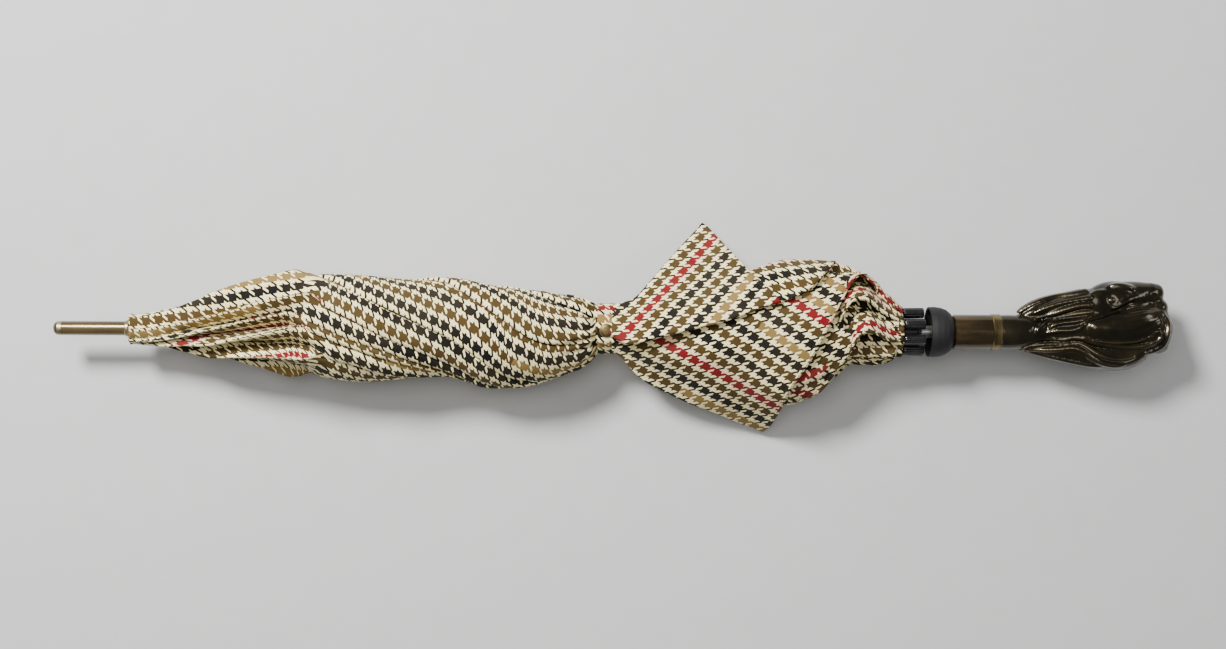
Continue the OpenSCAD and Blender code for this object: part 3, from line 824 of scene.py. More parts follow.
f4, st = flap(
    fold=[(776, 330, 66), (800, 330, 68), (826, 328, 70), (862, 330, 69)],
    crease=[(776, 394, 26), (784, 398, 23), (791, 400, 22), (797, 400.5, 22)],
    start=[(776, 330, 66), (776, 362, 54), (776, 394, 26)],
    hem=[(862, 330, 70), (856, 344, 68), (845, 361, 58), (833, 377, 44), (819, 393, 30), (797, 400.5, 22)],
    over=0.0002, ns=34, nt=40, seed=21, lane=((780, 385), (832, 405)), gap=0.0014, lift=0.0012, tuck=False)
threads += st

flaps_up = build_sheets("flap_top", [orient(f1), orient(f3)], M["cloth"])
flaps_low = build_sheets("flap_front", [orient(f2), orient(f4)], M["cloth"])
PIECES["flap_top"], PIECES["flap_front"] = flaps_up, flaps_low

# the rest of the hem: eight pockets between the tips
RIDGE = np.radians(np.array([5, 50, 95, 140, 185, 230, 275, 320.0]))
PLEAT = 8


def ridge_phase(phi):
    """0 on a ridge, 1 half way to the next, for uneven ridges."""
    ext = np.concatenate([[RIDGE[-1] - 2 * np.pi], RIDGE, [RIDGE[0] + 2 * np.pi]])
    k = np.interp(np.mod(phi, 2 * np.pi), ext, np.arange(len(ext)))
    return np.abs(k - np.round(k)) * 2, k


def hem_core():
    m = 240
    phi = np.linspace(0, 2 * np.pi, m, endpoint=False)
    d, k = ridge_phase(phi)
    lobe = np.cos(d * np.pi / 2) ** 2
    end = 899 - np.array([36, 6, 6, 6, 8, 22, 30, 34, 36, 6])[np.round(k).astype(int)] * lobe ** 0.55
    Q, U = [], []
    rows = np.concatenate([np.linspace(0, 0.72, 70), np.linspace(0.735, 1, 34)])
    for a in rows:
        px = 612 + (end - 612) * a
        yc, A, over, under = core_section(px)
        ring = 0.0172
        pinch = smooth_step(838, 902, px) * (1 - 0.85 * smooth_step(-0.3, 0.2, np.sin(phi)) * (1 - smooth_step(878, 902, px)))
        gather = smooth_step(770, 850, px)
        # pleats lean over to one side, less so towards the tips
        lean = phi + (1 - smooth_step(640, 860, px)) * 0.9
        d2, _ = ridge_phase(lean)
        l2 = np.cos(d2 * np.pi / 2) ** 2
        B = np.where(np.sin(phi) >= 0, over, under)
        y = yc + A * np.cos(phi)
        z = AZ + B * np.sin(phi)
        rad = np.hypot(y, z - AZ)
        # towards the tips the cloth runs in between the pockets
        inner = ring + (rad - ring) * (1 - pinch * 0.9)
        r2 = inner * (1 - l2) + rad * l2
        f = r2 / np.maximum(rad, 1e-6)
        depth = 0.0012 + 0.0035 * gather
        f = f - (1 - l2) * depth / np.maximum(rad, 1e-6) * (1 - pinch)
        x = gx(px)
        w = waves(phi * 0.03, x, 41, 7, 0.05) * 0.0009 + waves(phi * 0.03, x, 47, 6, 0.018) * 0.0004
        # what lies under the flaps is drawn in a little
        under = smooth_step(618, 648, px) * (1 - smooth_step(756, 788, px)) * 0.0026
        f = f + (w - under) / np.maximum(rad, 1e-6)
        y, z = y * f, AZ + (z - AZ) * f
        Q.append(np.stack([x, y, on_floor(z)], 1))
    Q = np.stack(Q)
    # a hem band, turned over twice
    lengths = np.concatenate([np.zeros((1, m)), np.cumsum(np.linalg.norm(np.diff(Q, axis=0), axis=2), 0)])
    to_end = lengths[-1][None] - lengths
    nor = grid_normals(Q, True)
    if (nor[:, :m // 2, 2]).mean() < 0:
        nor = -nor
    Q = Q + nor * (0.0005 * (1 - smooth_step(0.0032, 0.0042, to_end)))[..., None]
    cell = np.linalg.norm(np.roll(Q[45], -1, 0) - Q[45], axis=1)
    across = np.concatenate([[0], np.cumsum(cell)[:-1]])
    lines = []
    for dd in (0.0036, 0.0014):
        line = np.array([[np.interp(lengths[-1, j] - dd, lengths[:, j], Q[:, j, i]) for i in range(3)] for j in range(m)])
        line += nor[-4] * 0.0002
        lines.append(line)
    u = across[None] * (0.55 + 0.45 * np.linspace(0, 1, len(rows))[:, None] ** 0.5) + 0.004
    v = lengths + 0.004
    return Q, np.stack([u * np.ones_like(v), v], 2), lines


QC, UC, st = hem_core()
S = np.stack([UC, UC], 2)
S[:, 0, 0] = UC[:, -1] + np.array([0.001, 0])
core = build_sheets("hem_gather", [(QC, S, 0.0008, True, False)], M["cloth"])
PIECES["gather"] = core
threads += st

# inside the pockets: the cloth that runs on to the tips, in small folds
m = 192
phi = np.linspace(0, 2 * np.pi, m, endpoint=False)
rows = np.linspace(800, 900, 40)
QI = []
for p in rows:
    r = 0.0193 + 0.0008 * np.cos(8 * (phi - math.radians(22.5)))
    r = r + 0.0007 * np.sin(phi * 24 + p * 0.06)
    QI.append(np.stack([np.full(m, gx(p)), r * np.cos(phi), AZ + r * np.sin(phi)], 1))
QI = np.stack(QI)
UI = np.stack([np.repeat((phi * 0.024)[None], 40, 0), np.repeat((gx(rows))[:, None], m, 1)], 2)
S = np.stack([UI, UI], 2)
S[:, 0, 0] = UI[:, -1] + np.array([0.0008, 0])
inner = build_sheets("hem_inside", [(QI, S, 0.0006, True, False)], M["cloth"])
PIECES["inside"] = inner



def hood(upper, hem, ns, nt, seed, u0, fall=0.004):
    """One pocket's cloth: from a line deep in the pocket above it (t = 0) to its free hem (t = 1), ferrule side to tips."""
    c0, c1 = curve(upper, ns), curve(hem, ns)
    t = np.linspace(0, 1, nt)
    G = np.zeros((ns, nt, 3))
    s = np.linspace(0, 1, ns)[:, None]
    for i in range(2):
        G[..., i] = c0[:, i:i + 1] * (1 - t) + c1[:, i:i + 1] * t
    rise = np.sin(t * math.pi / 2) ** 0.8
    z = (c0[:, 2:] * (1 - rise) + c1[:, 2:] * rise) / 1000
    bell = np.sin(np.pi * t) * 0.0022 * np.sin(np.pi * s ** 0.8)
    ridges = 0.0009 * np.cos(t * 21 + seed + 2.0 * s) * smooth_step(0.25, 0.8, s) * (1 - smooth_step(0.8, 1.0, t) * 0.6)
    z = z + bell + ridges
    x, y = place(G[..., 0], G[..., 1], z)
    z = z + waves(x, y, seed, 6, 0.02) * 0.0005
    T = np.stack([x, y, z], 2)
    nor = grid_normals(T, False)
    if nor[..., 2].mean() < 0:
        nor = -nor
    lengths = np.concatenate([np.zeros((ns, 1)), np.cumsum(np.linalg.norm(np.diff(T, axis=1), axis=2), 1)], 1)
    to_hem = lengths[:, -1:] - lengths
    band = np.minimum(0.0034, lengths[:, -1:] * 0.5)
    T = T + nor * (0.0005 * (1 - smooth_step(0.85, 1.1, to_hem / band)))[..., None]
    along = np.concatenate([[0], np.cumsum(np.linalg.norm(np.diff(T[:, nt // 2], axis=0), axis=1))])
    U = np.stack([u0 - to_hem, np.repeat(along[:, None], nt, 1)], 2)
    # the hem turns down and in at its edge
    edge = [T[:, -1] - nor[:, -1] * 0.0007 + unit_rows(T[:, -1] - T[:, -3]) * 0.0004,
            T[:, -1] - nor[:, -1] * 0.0016 - unit_rows(T[:, -1] - T[:, -3]) * 0.0002,
            T[:, -1] - nor[:, -1] * (0.0016 + fall * 0.4) - unit_rows(T[:, -1] - T[:, -3]) * 0.0026]
    Q = np.concatenate([T, np.stack(edge, 1)], 1)
    ue = np.stack([np.stack([np.full(ns, u0 + d), along], 1) for d in (0.0008, 0.0018, 0.0046)], 1)
    lines = []
    for d in (1.0, 0.35):
        line = np.array([[np.interp(lengths[i, -1] - band[i, 0] * d, lengths[i], T[i, :, c]) for c in range(3)] for i in range(ns)])
        lines.append(line + nor[:, -3] * 0.0002)
    return (Q, np.concatenate([U, ue], 1), 0.0006, False, False), lines


def unit_rows(a):
    return a / np.maximum(np.linalg.norm(a, axis=1, keepdims=True), 1e-9)


HOODS = [
    ([(836, 262, 36), (850, 268, 33), (868, 279, 34), (889, 297, 38), (903, 308, 42)],
     [(838, 306, 66), (846, 292, 71), (853, 280, 71), (862, 275.5, 67), (873, 284, 61), (889, 299, 57), (903, 312, 56)], 51, 0.004),
    ([(836, 284, 58), (852, 281, 54), (866, 284, 50), (884, 298, 49), (903, 313, 52)],
     [(836, 330, 70), (843, 316, 75), (850, 304, 77), (859, 300, 76), (869, 302, 73), (882, 313, 66), (903, 324, 59)], 62, 0.020),
    ([(836, 306, 60), (852, 304, 57), (866, 306, 54), (884, 317, 53), (903, 325, 55)],
     [(842, 366, 58), (849, 354, 67), (856, 342, 73), (863, 334.5, 75), (872, 333, 73), (883, 338, 68), (893, 342, 63), (903, 340, 59)], 75, 0.013),
    ([(838, 340, 58), (856, 343, 54), (872, 343, 51), (888, 346, 50), (903, 341, 54)],
     [(836, 377, 36), (846, 367, 35), (856, 362.5, 34), (870, 363.5, 33), (887, 362.5, 34), (903, 351, 40)], 83, 0.031),
]
hood_sheets = []
for up_line, hem_line, seed, u0 in HOODS:
    sh, st = hood(up_line, hem_line, 64, 26, seed, u0)
    hood_sheets.append(orient(sh))
    threads += st
hoods = build_sheets("hem_pockets", hood_sheets, M["cloth"])
PIECES["hoods"] = hoods

# the dark stitches also paint the shade line along the hem bands
V, F = stitch(threads)
stitches = make_object("hem_stitches", V, F, None, M["thread"])
PIECES["stitches"] = stitches

for key, o in PIECES.items():
    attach(o, "root")
    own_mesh(o)
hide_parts("canopy_wrap")
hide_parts("canopy_hem")
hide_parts("flap_upper")
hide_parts("flap_lower")


# ---------------------------------------------------------------- strap and snap

def er(k):
    a = math.radians(45 * k - 22.5)
    return np.array([0, math.cos(a), math.sin(a)])


m = 128
phi = np.linspace(0, 2 * np.pi, m, endpoint=False)
xs = np.linspace(598, 615.6, 12)
QS = []
for i, p in enumerate(xs):
    e = (i / 11 - 0.5) * 2
    r = 0.0190 + 0.0004 * (1 - e ** 4) + 0.00022 * np.sin(phi * 9 + 1.0) - 0.0003 * (abs(e) > 0.95)
    dy = gy(328.3)
    QS.append(np.stack([gx(p) + 0.0003 * np.sin(phi * 3), dy + r * np.cos(phi), AZ + r * np.sin(phi)], 1))
QS = np.stack(QS)
US = np.stack([np.repeat(((phi - 0.42) * 0.019)[None], 12, 0), np.repeat((gx(xs) + 0.0132)[:, None], m, 1)], 2)
S = np.stack([US, US], 2)
S[:, 0, 0] = US[:, -1] + np.array([0.001, 0])
strap = build_sheets("strap_wrap", [(QS, S, 0.0010, True, False)], M["strap"])
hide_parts("strap_band")
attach(strap, "rib_2_body")
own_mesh(strap)

phi = np.radians(np.linspace(66.5, 122, 34))
xs = np.linspace(0, 1, 12)
QE = []
for f in xs:
    row = []
    for a in phi:
        half = 0.0066 * min(1.0, math.sqrt(max(0.0, 1 - max(0.0, (math.degrees(a) - 112) / 11) ** 2)) + 0.12)
        x = -0.0055 + (f - 0.5) * 2 * half
        r = 0.0207 + 0.00012 * math.sin(a * 17)
        row.append([x, gy(329.5) + r * math.cos(a), AZ + r * math.sin(a)])
    QE.append(row)
QE = np.array(QE)
UE = np.stack([np.repeat(((phi - 0.42) * 0.019)[None], 12, 0), QE[..., 0] + 0.0132], 2)
strap_tab = build_sheets("strap_tab", [(QE, UE, 0.0009, False, False)], M["strap"])
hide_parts("strap_end")
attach(strap_tab, "strap_end")

edge = []
for f in (0.085, 0.915):
    edge.append(np.array([[-0.0055 + (f - 0.5) * 2 * 0.0066, gy(329.5) + 0.02085 * math.cos(a), AZ + 0.02085 * math.sin(a)]
                          for a in np.radians(np.linspace(68, 112, 40))]))
V, F = stitch(edge, 0.0018, 0.0006)
tab_stitch = make_object("strap_tab_stitches", V, F, None, M["thread"])
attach(tab_stitch, "strap_end")


def lathe(name, profile, origin, axis, mat, seg=64, flute=None):
    """profile is (along, radius) pairs in metres; flute(along, angle) changes the radius."""
    axis = np.asarray(axis, float) / np.linalg.norm(axis)
    side = np.cross(axis, [0.0, 0.0, 1.0] if abs(axis[2]) < 0.9 else [0.0, 1.0, 0.0])
    side /= np.linalg.norm(side)
    up = np.cross(axis, side)
    V, F = [], []
    for a, r in profile:
        for j in range(seg):
            w = 2 * math.pi * j / seg
            q = r + (flute(a, w) if flute else 0)
            V.append(np.asarray(origin) + axis * a + (side * math.cos(w) + up * math.sin(w)) * q)
    for i in range(len(profile) - 1):
        for j in range(seg):
            k = (j + 1) % seg
            F.append([i * seg + j, i * seg + k, (i + 1) * seg + k, (i + 1) * seg + j])
    F.append(list(range(seg))[::-1])
    F.append([(len(profile) - 1) * seg + j for j in range(seg)])
    o = make_object(name, V, F, None, mat)
    return o


cap_o = np.array([gx(606.6), gy(330), AZ + 0.0211])
snap = lathe("snap_dome", [(-0.0004, 0.0040), (0.0001, 0.0052), (0.0005, 0.0056), (0.0009, 0.0055), (0.0011, 0.0051), (0.0011, 0.0047),
                           (0.0013, 0.0044), (0.0016, 0.0037), (0.0018, 0.0027), (0.0019, 0.0015), (0.00194, 0.0004)],
             cap_o, (0, 0, 1), M["snap"])
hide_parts("snap_cap")
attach(snap, "strap_end")

# ---------------------------------------------------------------- rib tips

for k in range(1, 9):
    j = JOINTS["open" if k == 1 else "rib_%d_hinge" % k]
    hinge = np.array(j["pos_m"])
    d = np.array([math.cos(math.radians(0.79)), 0, 0]) + math.sin(math.radians(0.79)) * er(k)
    prof = [(0.6150, 0.0034), (0.6154, 0.0040), (0.6160, 0.0043), (0.6168, 0.0044), (0.6185, 0.0044), (0.6205, 0.0044),
            (0.6225, 0.0044), (0.6245, 0.0044), (0.6265, 0.0044), (0.6285, 0.0044), (0.6300, 0.0044), (0.6310, 0.0043),
            (0.6316, 0.0040), (0.6319, 0.0034), (0.6320, 0.0012)]

    def flute(a, w):
        return -0.00050 * (0.5 + 0.5 * math.cos(10 * w)) ** 2 * math.exp(-((a - 0.6238) / 0.0080) ** 8)

    o = lathe("tip_%d" % k, prof, hinge, d, M["tip"], 72, flute)
    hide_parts("rib_tip_%d" % k)
    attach(o, "rib_%d_body" % k)

# ---------------------------------------------------------------- the gores, folded small inside the bundle

for k in range(1, 9):
    j = JOINTS["gore_%d_fan" % k]
    P0, nr = np.array(j["pos_m"]), np.array(j["axis"])
    nr /= np.linalg.norm(nr)
    alpha = math.radians(j["range_deg"][1])
    hinge = np.array(JOINTS["open" if k == 1 else "rib_%d_hinge" % k]["pos_m"])
    d = np.array([math.cos(math.radians(0.79)), 0, 0]) + math.sin(math.radians(0.79)) * er(k)
    side = np.cross(nr, d)
    side /= np.linalg.norm(side)
    out = nr if nr @ er(k) > 0 else -nr
    delta = 0.0016
    far = 0.627
    f = np.linspace(0, 1, 29)
    tt = 0.5 - np.sin(np.arcsin(1 - 2 * f) / 3)
    rows = np.concatenate([np.linspace(0.013, 0.04, 6), np.linspace(0.06, far - 0.012, 36), np.linspace(far - 0.009, far, 6)])
    Q, U = [], []
    for rr in rows:
        scallop = 1 - 0.022 * np.sin(np.pi * f) * smooth_step(0.3, far, rr)
        rho = rr * scallop
        flat_r = rho * np.sqrt(f ** 2 + (1 - f) ** 2 + 2 * f * (1 - f) * math.cos(alpha))
        turned = np.arctan2(f * math.sin(alpha), 1 - f + f * math.cos(alpha)) - alpha / 2
        hem = 0.0004 if rr > far - 0.0075 else 0.0
        lift = 0.0026 + hem + 0.0004 * np.sin(rr * 60 + f * 20) * np.sin(np.pi * f)
        Q.append(P0 + rho[:, None] * d + out * (lift[:, None] if np.ndim(lift) else lift) + (tt * delta)[:, None] * side)
        U.append(np.stack([flat_r * np.sin(turned), flat_r * np.cos(turned)], 1))
    Q, U = np.stack(Q), np.stack(U)
    n = grid_normals(Q, False)
    o = build_sheets("dome_gore_%d" % k, [(Q, U, 0.0004, False, bool((n @ out).mean() < 0))], M["dome"])
    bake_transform(o)
    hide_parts("gore_%d" % k)

# ---------------------------------------------------------------- the dog's head

HK = K / 8.253                   # metres for each unit of the head's own grid


def hx(cx):
    return (1000 + np.asarray(cx, float) / 8.253 - X0) * K


def hy(cx, cy):
    return (Y0 - 260 - np.asarray(cy, float) / 8.253) * K + 0.00037 + 0.00447 * hx(cx)


def tube_mesh(pts, r, rz, zc, bm, seg=28):
    """Adds a swept elliptical body with round ends: pts in the head's grid, r across, rz deep, zc its centre's height."""
    pts, r, rz, zc = [np.asarray(q, float) for q in (pts, r, rz, zc)]
    n = 40
    path = curve(np.column_stack([pts, r, rz * 1e4, zc * 1e4]), n)
    X, Y = hx(path[:, 0]), hy(path[:, 0], path[:, 1])
    R, RZ, Z = path[:, 2] * HK, path[:, 3] * 1e-4, path[:, 4] * 1e-4
    near = (1.3 - np.abs(Z)) / 1.3                      # what stands up is drawn nearer to the camera
    X, Y = X * near, 0.0048 + (Y - 0.0048) * near
    t = np.stack([np.gradient(X), np.gradient(Y)], 1)
    t /= np.linalg.norm(t, axis=1, keepdims=True)
    rings = []
    stations = [(0, -math.cos(math.radians(a)), math.sin(math.radians(a))) for a in (6, 30, 55, 75)]
    stations += [(i, 0, 1) for i in range(n)]
    stations += [(n - 1, math.cos(math.radians(a)), math.sin(math.radians(a))) for a in (75, 55, 30, 6)]
    for i, push, f in stations:
        ring = []
        for j in range(seg):
            w = 2 * math.pi * j / seg
            a = R[i] * f * math.cos(w)
            ring.append(bm.verts.new((X[i] + t[i, 0] * push * R[i] - t[i, 1] * a, Y[i] + t[i, 1] * push * R[i] + t[i, 0] * a,
                                      AZ + Z[i] + RZ[i] * f * math.sin(w))))
        rings.append(ring)
    for a, b in zip(rings[:-1], rings[1:]):
        for j in range(seg):
            k = (j + 1) % seg
            bm.faces.new((a[j], a[k], b[k], b[j]))
    bm.faces.new(rings[0][::-1])
    bm.faces.new(rings[-1])


def remeshed(bm, voxel, smooth_passes):
    """One skin round all the bodies in bm, as a new mesh."""
    me = bpy.data.meshes.new("tmp_head")
    bmesh.ops.recalc_face_normals(bm, faces=bm.faces)
    bm.to_mesh(me)
    o = bpy.data.objects.new("tmp_head", me)
    bpy.context.scene.collection.objects.link(o)
    md = o.modifiers.new("r", "REMESH")
    md.mode = "VOXEL"
    md.voxel_size = voxel
    md.adaptivity = 0
    if smooth_passes:
        ms = o.modifiers.new("s", "SMOOTH")
        ms.factor = 0.5
        ms.iterations = smooth_passes
    dg = bpy.context.evaluated_depsgraph_get()
    ev = bpy.data.meshes.new_from_object(o.evaluated_get(dg))
    bpy.data.objects.remove(o, do_unlink=True)
    bpy.data.meshes.remove(me)
    return ev


def mass(bm, pts, r, rz, zc=0.0):
    n = len(pts)
    z = np.full(n, zc) if np.isscalar(zc) else zc
    tube_mesh(pts, r, rz, z, bm)
    if np.any(np.abs(z) > 1e-6):
        tube_mesh(pts, r, rz, -np.asarray(z), bm)


def ball(bm, cx, cy, rx, ry, rz, zc=0.0, rot=0.0):
    for s in ((1, -1) if zc else (1,)):
        near = (1.3 - zc - 0.5 * rz) / 1.3 if zc else 1.0
        m4 = (Matrix.Translation((float(hx(cx)) * near, 0.0048 + (float(hy(cx, cy)) - 0.0048) * near, AZ + s * zc)) @ Matrix.Rotation(math.radians(rot), 4, "Z") @
              Matrix.Diagonal((rx * HK, ry * HK, rz, 1)))
        bmesh.ops.create_uvsphere(bm, u_segments=40, v_segments=24, radius=1.0, matrix=m4)


bm = bmesh.new()
mass(bm, [(2, 596), (120, 597), (330, 592)], [144, 144, 120], [0.0140, 0.0140, 0.013])
mass(bm, [(175, 470), (300, 425), (500, 392), (740, 372)], [34, 74, 104, 138], [0.006, 0.0105, 0.0135, 0.0168])
mass(bm, [(250, 722), (500, 742), (700, 764), (900, 782), (1040, 778), (1120, 748)], [44, 96, 122, 134, 124, 104], [0.009, 0.0135, 0.0160, 0.0175, 0.0175, 0.0165])
mass(bm, [(420, 570), (800, 560), (1180, 560)], [110, 210, 225], [0.0145, 0.0205, 0.0205])
ball(bm, 925, 345, 235, 172, 0.0182, 0, 3)                                        # skull
mass(bm, [(930, 345), (1110, 312), (1236, 288)], [165, 140, 104], [0.0168, 0.0142, 0.0108])    # muzzle
ball(bm, 1284, 274, 64, 80, 0.0086)                                                # nose
mass(bm, [(960, 420), (1130, 400), (1270, 370)], [110, 100, 75], [0.0165, 0.0140, 0.0100])     # flews
mass(bm, [(775, 560), (1000, 545), (1200, 500), (1300, 470)], [82, 108, 100, 70], [0.0085, 0.0085, 0.008, 0.006],
     [0.0135, 0.0148, 0.0130, 0.0100])                                             # smooth side of the jaw
mass(bm, [(1180, 620), (1290, 600), (1310, 560)], [150, 118, 100], [0.0195, 0.0180, 0.016])
mass(bm, [(1305, 690), (1320, 560), (1315, 470)], [84, 98, 72], [0.0140, 0.0165, 0.0120])
ball(bm, 838, 350, 124, 112, 0.0050, 0.0128, 0)                                     # round the eye
ball(bm, 1296, 396, 86, 84, 0.0115)                                                 # chin
ball(bm, 1015, 232, 120, 46, 0.0052, 0.0098, -6)                                   # brow
ev = remeshed(bm, 0.0011, 6)
bm.free()

LOCKS = [
    # path, half width in grid units, depth share
    ([(700, 268), (560, 292), (430, 312), (300, 352), (200, 402), (148, 438)], [34, 30, 27, 24, 18, 7]),
    ([(735, 318), (600, 338), (480, 362), (360, 402), (262, 445)], [34, 30, 27, 22, 9]),
    ([(740, 372), (650, 378), (540, 408), (440, 442), (345, 468), (238, 492)], [32, 30, 30, 28, 22, 8]),
    ([(735, 432), (620, 446), (500, 470), (400, 500), (330, 545), (300, 598)], [32, 30, 28, 25, 22, 15]),
    ([(730, 488), (620, 508), (500, 522), (430, 545), (405, 585)], [26, 26, 24, 20, 11]),
    ([(720, 500), (676, 548), (600, 578), (480, 584), (380, 600)], [20, 22, 24, 22, 10]),
    ([(310, 655), (420, 650), (520, 658), (590, 642), (670, 646), (760, 680), (880, 704), (1020, 722), (1150, 716), (1250, 688),
      (1322, 648), (1338, 606), (1290, 582), (1222, 606)], [10, 17, 20, 22, 24, 25, 26, 27, 26, 25, 22, 19, 16, 9]),
    ([(190, 735), (262, 708), (400, 696), (560, 694), (650, 690), (730, 732), (810, 782), (910, 816), (1030, 820), (1130, 792)],
     [12, 22, 25, 25, 25, 26, 27, 27, 24, 14]),
    ([(196, 742), (330, 742), (480, 738), (600, 728), (690, 758), (760, 814), (860, 856), (960, 872), (1050, 862)],
     [8, 18, 22, 24, 26, 26, 24, 20, 10]),
    ([(240, 758), (380, 786), (560, 826), (720, 858), (860, 878)], [12, 24, 27, 26, 12]),
    ([(1190, 770), (1270, 742), (1340, 700), (1378, 620), (1388, 540), (1372, 470)], [18, 27, 29, 26, 22, 14]),
    ([(690, 640), (800, 664), (960, 678), (1120, 668), (1220, 640)], [12, 18, 20, 18, 9]),
]

from mathutils.bvhtree import BVHTree
tree = BVHTree.FromPolygons([v.co for v in ev.vertices], [tuple(p.vertices) for p in ev.polygons])


def top_height(cx, cy):
    z = 0.0
    for _ in range(3):
        near = (1.3 - z) / 1.3
        hit = tree.ray_cast(Vector((float(hx(cx)) * near, 0.0048 + (float(hy(cx, cy)) - 0.0048) * near, AZ + 0.08)), Vector((0, 0, -1)))
        z = hit[0].z - AZ if hit[0] else 0.0
    return z


bm = bmesh.new()
bm.from_mesh(ev)
for path, half in LOCKS:
    p = curve(np.column_stack([path, half]), 36)
    z = np.array([top_height(*q[:2]) for q in p])
    for i, q in enumerate(p):                        # past the outline, keep the nearest height inside it
        if z[i] < 0.004:
            z[i] = max([top_height(q[0] + dx, q[1] + dy) * 0.55 for dx in (-45, 0, 45) for dy in (-45, 0, 45)] + [0.003])
    z = np.convolve(np.pad(z, 3, mode="edge"), np.ones(7) / 7, "valid")
    r = p[:, 2]
    depth = np.minimum(r * HK * 1.35, 0.0042)
    idx = np.arange(0, 36, 2)
    mass(bm, p[idx, :2], r[idx], depth[idx], z[idx] - depth[idx] * 0.42)
bpy.data.meshes.remove(ev)
ev = remeshed(bm, 0.00058, 5)
bm.free()

# relief: (path, half width, height in mm); a minus cuts in
RELIEF = [
    ([(838, 262), (900, 214), (990, 204), (1070, 226), (1118, 258)], 13, 0.85),           # brow
    ([(868, 304), (902, 286), (944, 290), (982, 326), (1006, 366)], 9, 0.5),                # upper lid
    ([(880, 326), (888, 356), (914, 380), (950, 394), (990, 394)], 8, 0.6),                 # lower lid
    ([(892, 216), (925, 238), (955, 268), (990, 318)], 9, -0.3),                            # crease over the lid
    ([(972, 262), (1010, 290), (1034, 330), (1030, 372)], 13, -0.3),                       # inner corner
    ([(850, 400), (890, 418), (950, 428)], 11, -0.35),
    ([(722, 486), (800, 470), (880, 446), (960, 416), (1030, 380), (1090, 356), (1135, 350)], 13, -1.9),  # mouth
    ([(900, 420), (985, 382), (1050, 340), (1100, 318), (1140, 310)], 13, 1.15),          # lip
    ([(1225, 262), (1216, 300), (1240, 345), (1290, 362)], 9, -0.55),                      # round the nose
    ([(1245, 276), (1262, 266), (1284, 268)], 9, 0.55),
    ([(1302, 285), (1308, 300), (1304, 318)], 8, 0.5),
    ([(1272, 292), (1282, 300), (1280, 312)], 9, -1.2),                                    # nostril
    ([(1330, 262), (1296, 242), (1240, 240)], 10, 0.3),
    ([(700, 520), (692, 560), (704, 612), (760, 648), (860, 664), (1000, 672), (1130, 660), (1240, 620), (1310, 560)], 9, -1.1),
    ([(700, 520), (760, 484), (860, 462)], 9, -0.9),
    ([(1040, 395), (1150, 392), (1260, 392), (1340, 372)], 10, -0.5),
    ([(830, 600), (960, 612), (1100, 596), (1220, 556), (1320, 490)], 7, -0.42),
    ([(860, 570), (1000, 575), (1130, 552), (1240, 512), (1330, 450)], 7, 0.30),
    ([(900, 535), (1040, 530), (1160, 505), (1270, 462)], 7, -0.34),
    ([(930, 500), (1060, 494), (1180, 462), (1290, 425)], 7, 0.26),
    ([(1000, 462), (1120, 444), (1230, 420), (1330, 400)], 7, -0.30),
    ([(1338, 400), (1372, 452), (1392, 510)], 7, 0.45),
    ([(1322, 420), (1352, 470), (1368, 520)], 6, -0.45),
    ([(1360, 400), (1396, 460), (1412, 520)], 6, 0.35),
    ([(268, 545), (258, 580), (264, 615)], 9, 0.55),
    ([(285, 540), (282, 580), (288, 620)], 8, -0.7),
    ([(1220, 640), (1246, 622), (1266, 640), (1250, 664)], 8, 0.55),
]


def seg_distance(P2, path):
    """Distance from each point to a polyline, signed by side."""
    best = np.full(len(P2), 1e9)
    sign = np.ones(len(P2))
    for a, b in zip(path[:-1], path[1:]):
        ab = b - a
        t = np.clip(((P2 - a) @ ab) / max(ab @ ab, 1e-9), 0, 1)
        d = P2 - (a + t[:, None] * ab)
        q = np.hypot(d[:, 0], d[:, 1])
        m = q < best
        best[m] = q[m]
        sign[m] = np.sign(ab[0] * d[m, 1] - ab[1] * d[m, 0])
    return best, sign


co = np.empty(len(ev.vertices) * 3)
ev.vertices.foreach_get("co", co)
co = co.reshape(-1, 3)
nr = np.empty(len(ev.vertices) * 3)
ev.vertices.foreach_get("normal", nr)
nr = nr.reshape(-1, 3)
near = (1.3 - np.abs(co[:, 2] - AZ)) / 1.3
flatx, flaty = co[:, 0] / near, (co[:, 1] - 0.0048) / near + 0.0048
cx = ((flatx / K + X0) - 1000) * 8.253
cy = (Y0 - 260 - (flaty - 0.00037 - 0.00447 * flatx) / K) * 8.253
P2 = np.stack([cx, cy], 1)
side = np.clip(np.abs(nr[:, 2]) * 1.4, 0, 1)
move = np.zeros(len(co))
widen = 1.25
for path, w, h in RELIEF:
    w, h = w * widen, h * 0.85
    q = curve(path, 28)
    d, _ = seg_distance(P2, q)
    ends = np.minimum(np.hypot(*(P2 - q[0]).T), np.hypot(*(P2 - q[-1]).T))
    near = d < 4 * w
    f = np.exp(-(d / w) ** 2) * (0.25 + 0.75 * np.clip(ends / (2.5 * w), 0, 1))
    move[near] += h * 1e-3 * f[near]
# the eye: a ball in its socket
for ex, ey, r, h in ((920, 332, 27, 0.8),):
    d = np.hypot(cx - ex, (cy - ey) * 1.15)
    move += h * 1e-3 * np.sqrt(np.clip(1 - (d / r) ** 2, 0, 1)) - 0.45e-3 * np.exp(-((d - r * 1.15) / 8) ** 2)
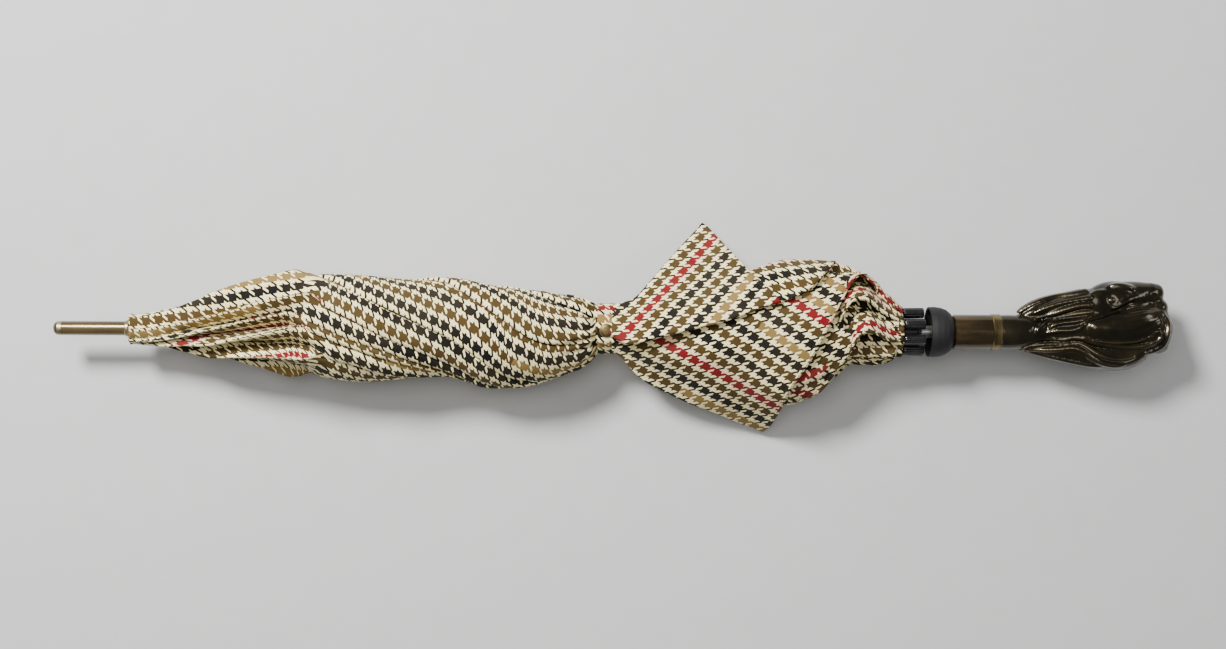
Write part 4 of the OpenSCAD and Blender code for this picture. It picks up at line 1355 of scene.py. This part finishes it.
# fine hair lines along the locks
best = np.full(len(co), 1e9)
signed = np.zeros(len(co))
for path, half in LOCKS:
    q = curve(np.column_stack([path, half]), 30)
    d, s = seg_distance(P2, q[:, :2])
    m = d < best
    best[m] = d[m]
    signed[m] = (d * s)[m]
hair = np.exp(-(best / 60) ** 4) * (1 - smooth_step(-10, 60, 175 - np.hypot((cx - 925), (cy - 345) * 1.3)) * 0.9)
move += hair * (0.085e-3 * np.cos(signed * 2 * np.pi / 19) + 0.03e-3 * np.cos(signed * 2 * np.pi / 11.3 + cx * 0.02))
plain = smooth_step(150, 260, cx)
ed = np.empty(len(ev.edges) * 2, np.int32)
ev.edges.foreach_get("vertices", ed)
ed = ed.reshape(-1, 2)
shift = move * side * plain
count = np.bincount(ed.ravel(), minlength=len(co)).astype(float)
for _ in range(2):                               # soften the relief a little
    acc = np.bincount(ed[:, 0], weights=shift[ed[:, 1]], minlength=len(co)) + np.bincount(ed[:, 1], weights=shift[ed[:, 0]], minlength=len(co))
    shift = 0.5 * shift + 0.5 * acc / np.maximum(count, 1)
co = co + nr * shift[:, None]
for _ in range(2):
    acc = np.stack([np.bincount(ed[:, 0], weights=co[ed[:, 1], i], minlength=len(co)) + np.bincount(ed[:, 1], weights=co[ed[:, 0], i], minlength=len(co)) for i in range(3)], 1)
    co = 0.6 * co + 0.4 * acc / np.maximum(count, 1)[:, None]
ev.vertices.foreach_set("co", co.ravel())
ev.polygons.foreach_set("use_smooth", [True] * len(ev.polygons))
ev.update()
head = bpy.data.objects.new("dog_head_cast", ev)
ev.name = "dog_head_cast"
bpy.context.scene.collection.objects.link(head)
ev.materials.clear()
ev.materials.append(M["bronze"])
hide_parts("dog_head")
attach(head, "root")


# ---------------------------------------------------------------- stage, light, camera

def area_light(name, loc, size, energy, target=(0, 0, 0.03), colour=(1, 1, 1)):
    d = bpy.data.lights.new(name, "AREA")
    d.shape = "DISK"
    d.size = size
    d.energy = energy
    d.color = colour
    o = bpy.data.objects.new(name, d)
    o.location = loc
    o.rotation_euler = (Vector(target) - Vector(loc)).to_track_quat("-Z", "Y").to_euler()
    bpy.context.scene.collection.objects.link(o)
    return o


me = bpy.data.meshes.new("studio_floor")
me.from_pydata([(-6, -6, 0), (6, -6, 0), (6, 6, 0), (-6, 6, 0)], [], [(0, 1, 2, 3)])
floor = bpy.data.objects.new("studio_floor", me)
bpy.context.scene.collection.objects.link(floor)
fm, nt, bsdf = new_material("studio_paper")
n = N(nt)
co = n.node("ShaderNodeTexCoord").outputs["Object"]
n.link(n.mix(n.noise(co, 40, 3.0), (0.50, 0.50, 0.497), (0.535, 0.535, 0.53)), bsdf.inputs["Base Color"])
bsdf.inputs["Roughness"].default_value = 0.9
me.materials.append(fm)
lights = [area_light("key", (-0.8, 0.95, 1.5), 0.5, 86),
          area_light("top", (-0.2, 0.25, 2.4), 1.3, 20),
          area_light("side", (1.5, 0.5, 0.9), 0.5, 4)]

world = bpy.context.scene.world or bpy.data.worlds.new("studio")
bpy.context.scene.world = world
world.use_nodes = True
bg = next(x for x in world.node_tree.nodes if x.type == "BACKGROUND")
bg.inputs[0].default_value = (1, 1, 1, 1)
bg.inputs[1].default_value = 0.21

cam = bpy.data.cameras.new("photo_camera")
cam.sensor_fit = "HORIZONTAL"
cam.angle = 2 * math.atan(0.4935 / 1.3)
cam.clip_start = 0.05
co = bpy.data.objects.new("photo_camera", cam)
co.location = (0, 0.0048, 1.34)
co.rotation_euler = (0, 0, 0.00447)
bpy.context.scene.collection.objects.link(co)
bpy.context.scene.camera = co
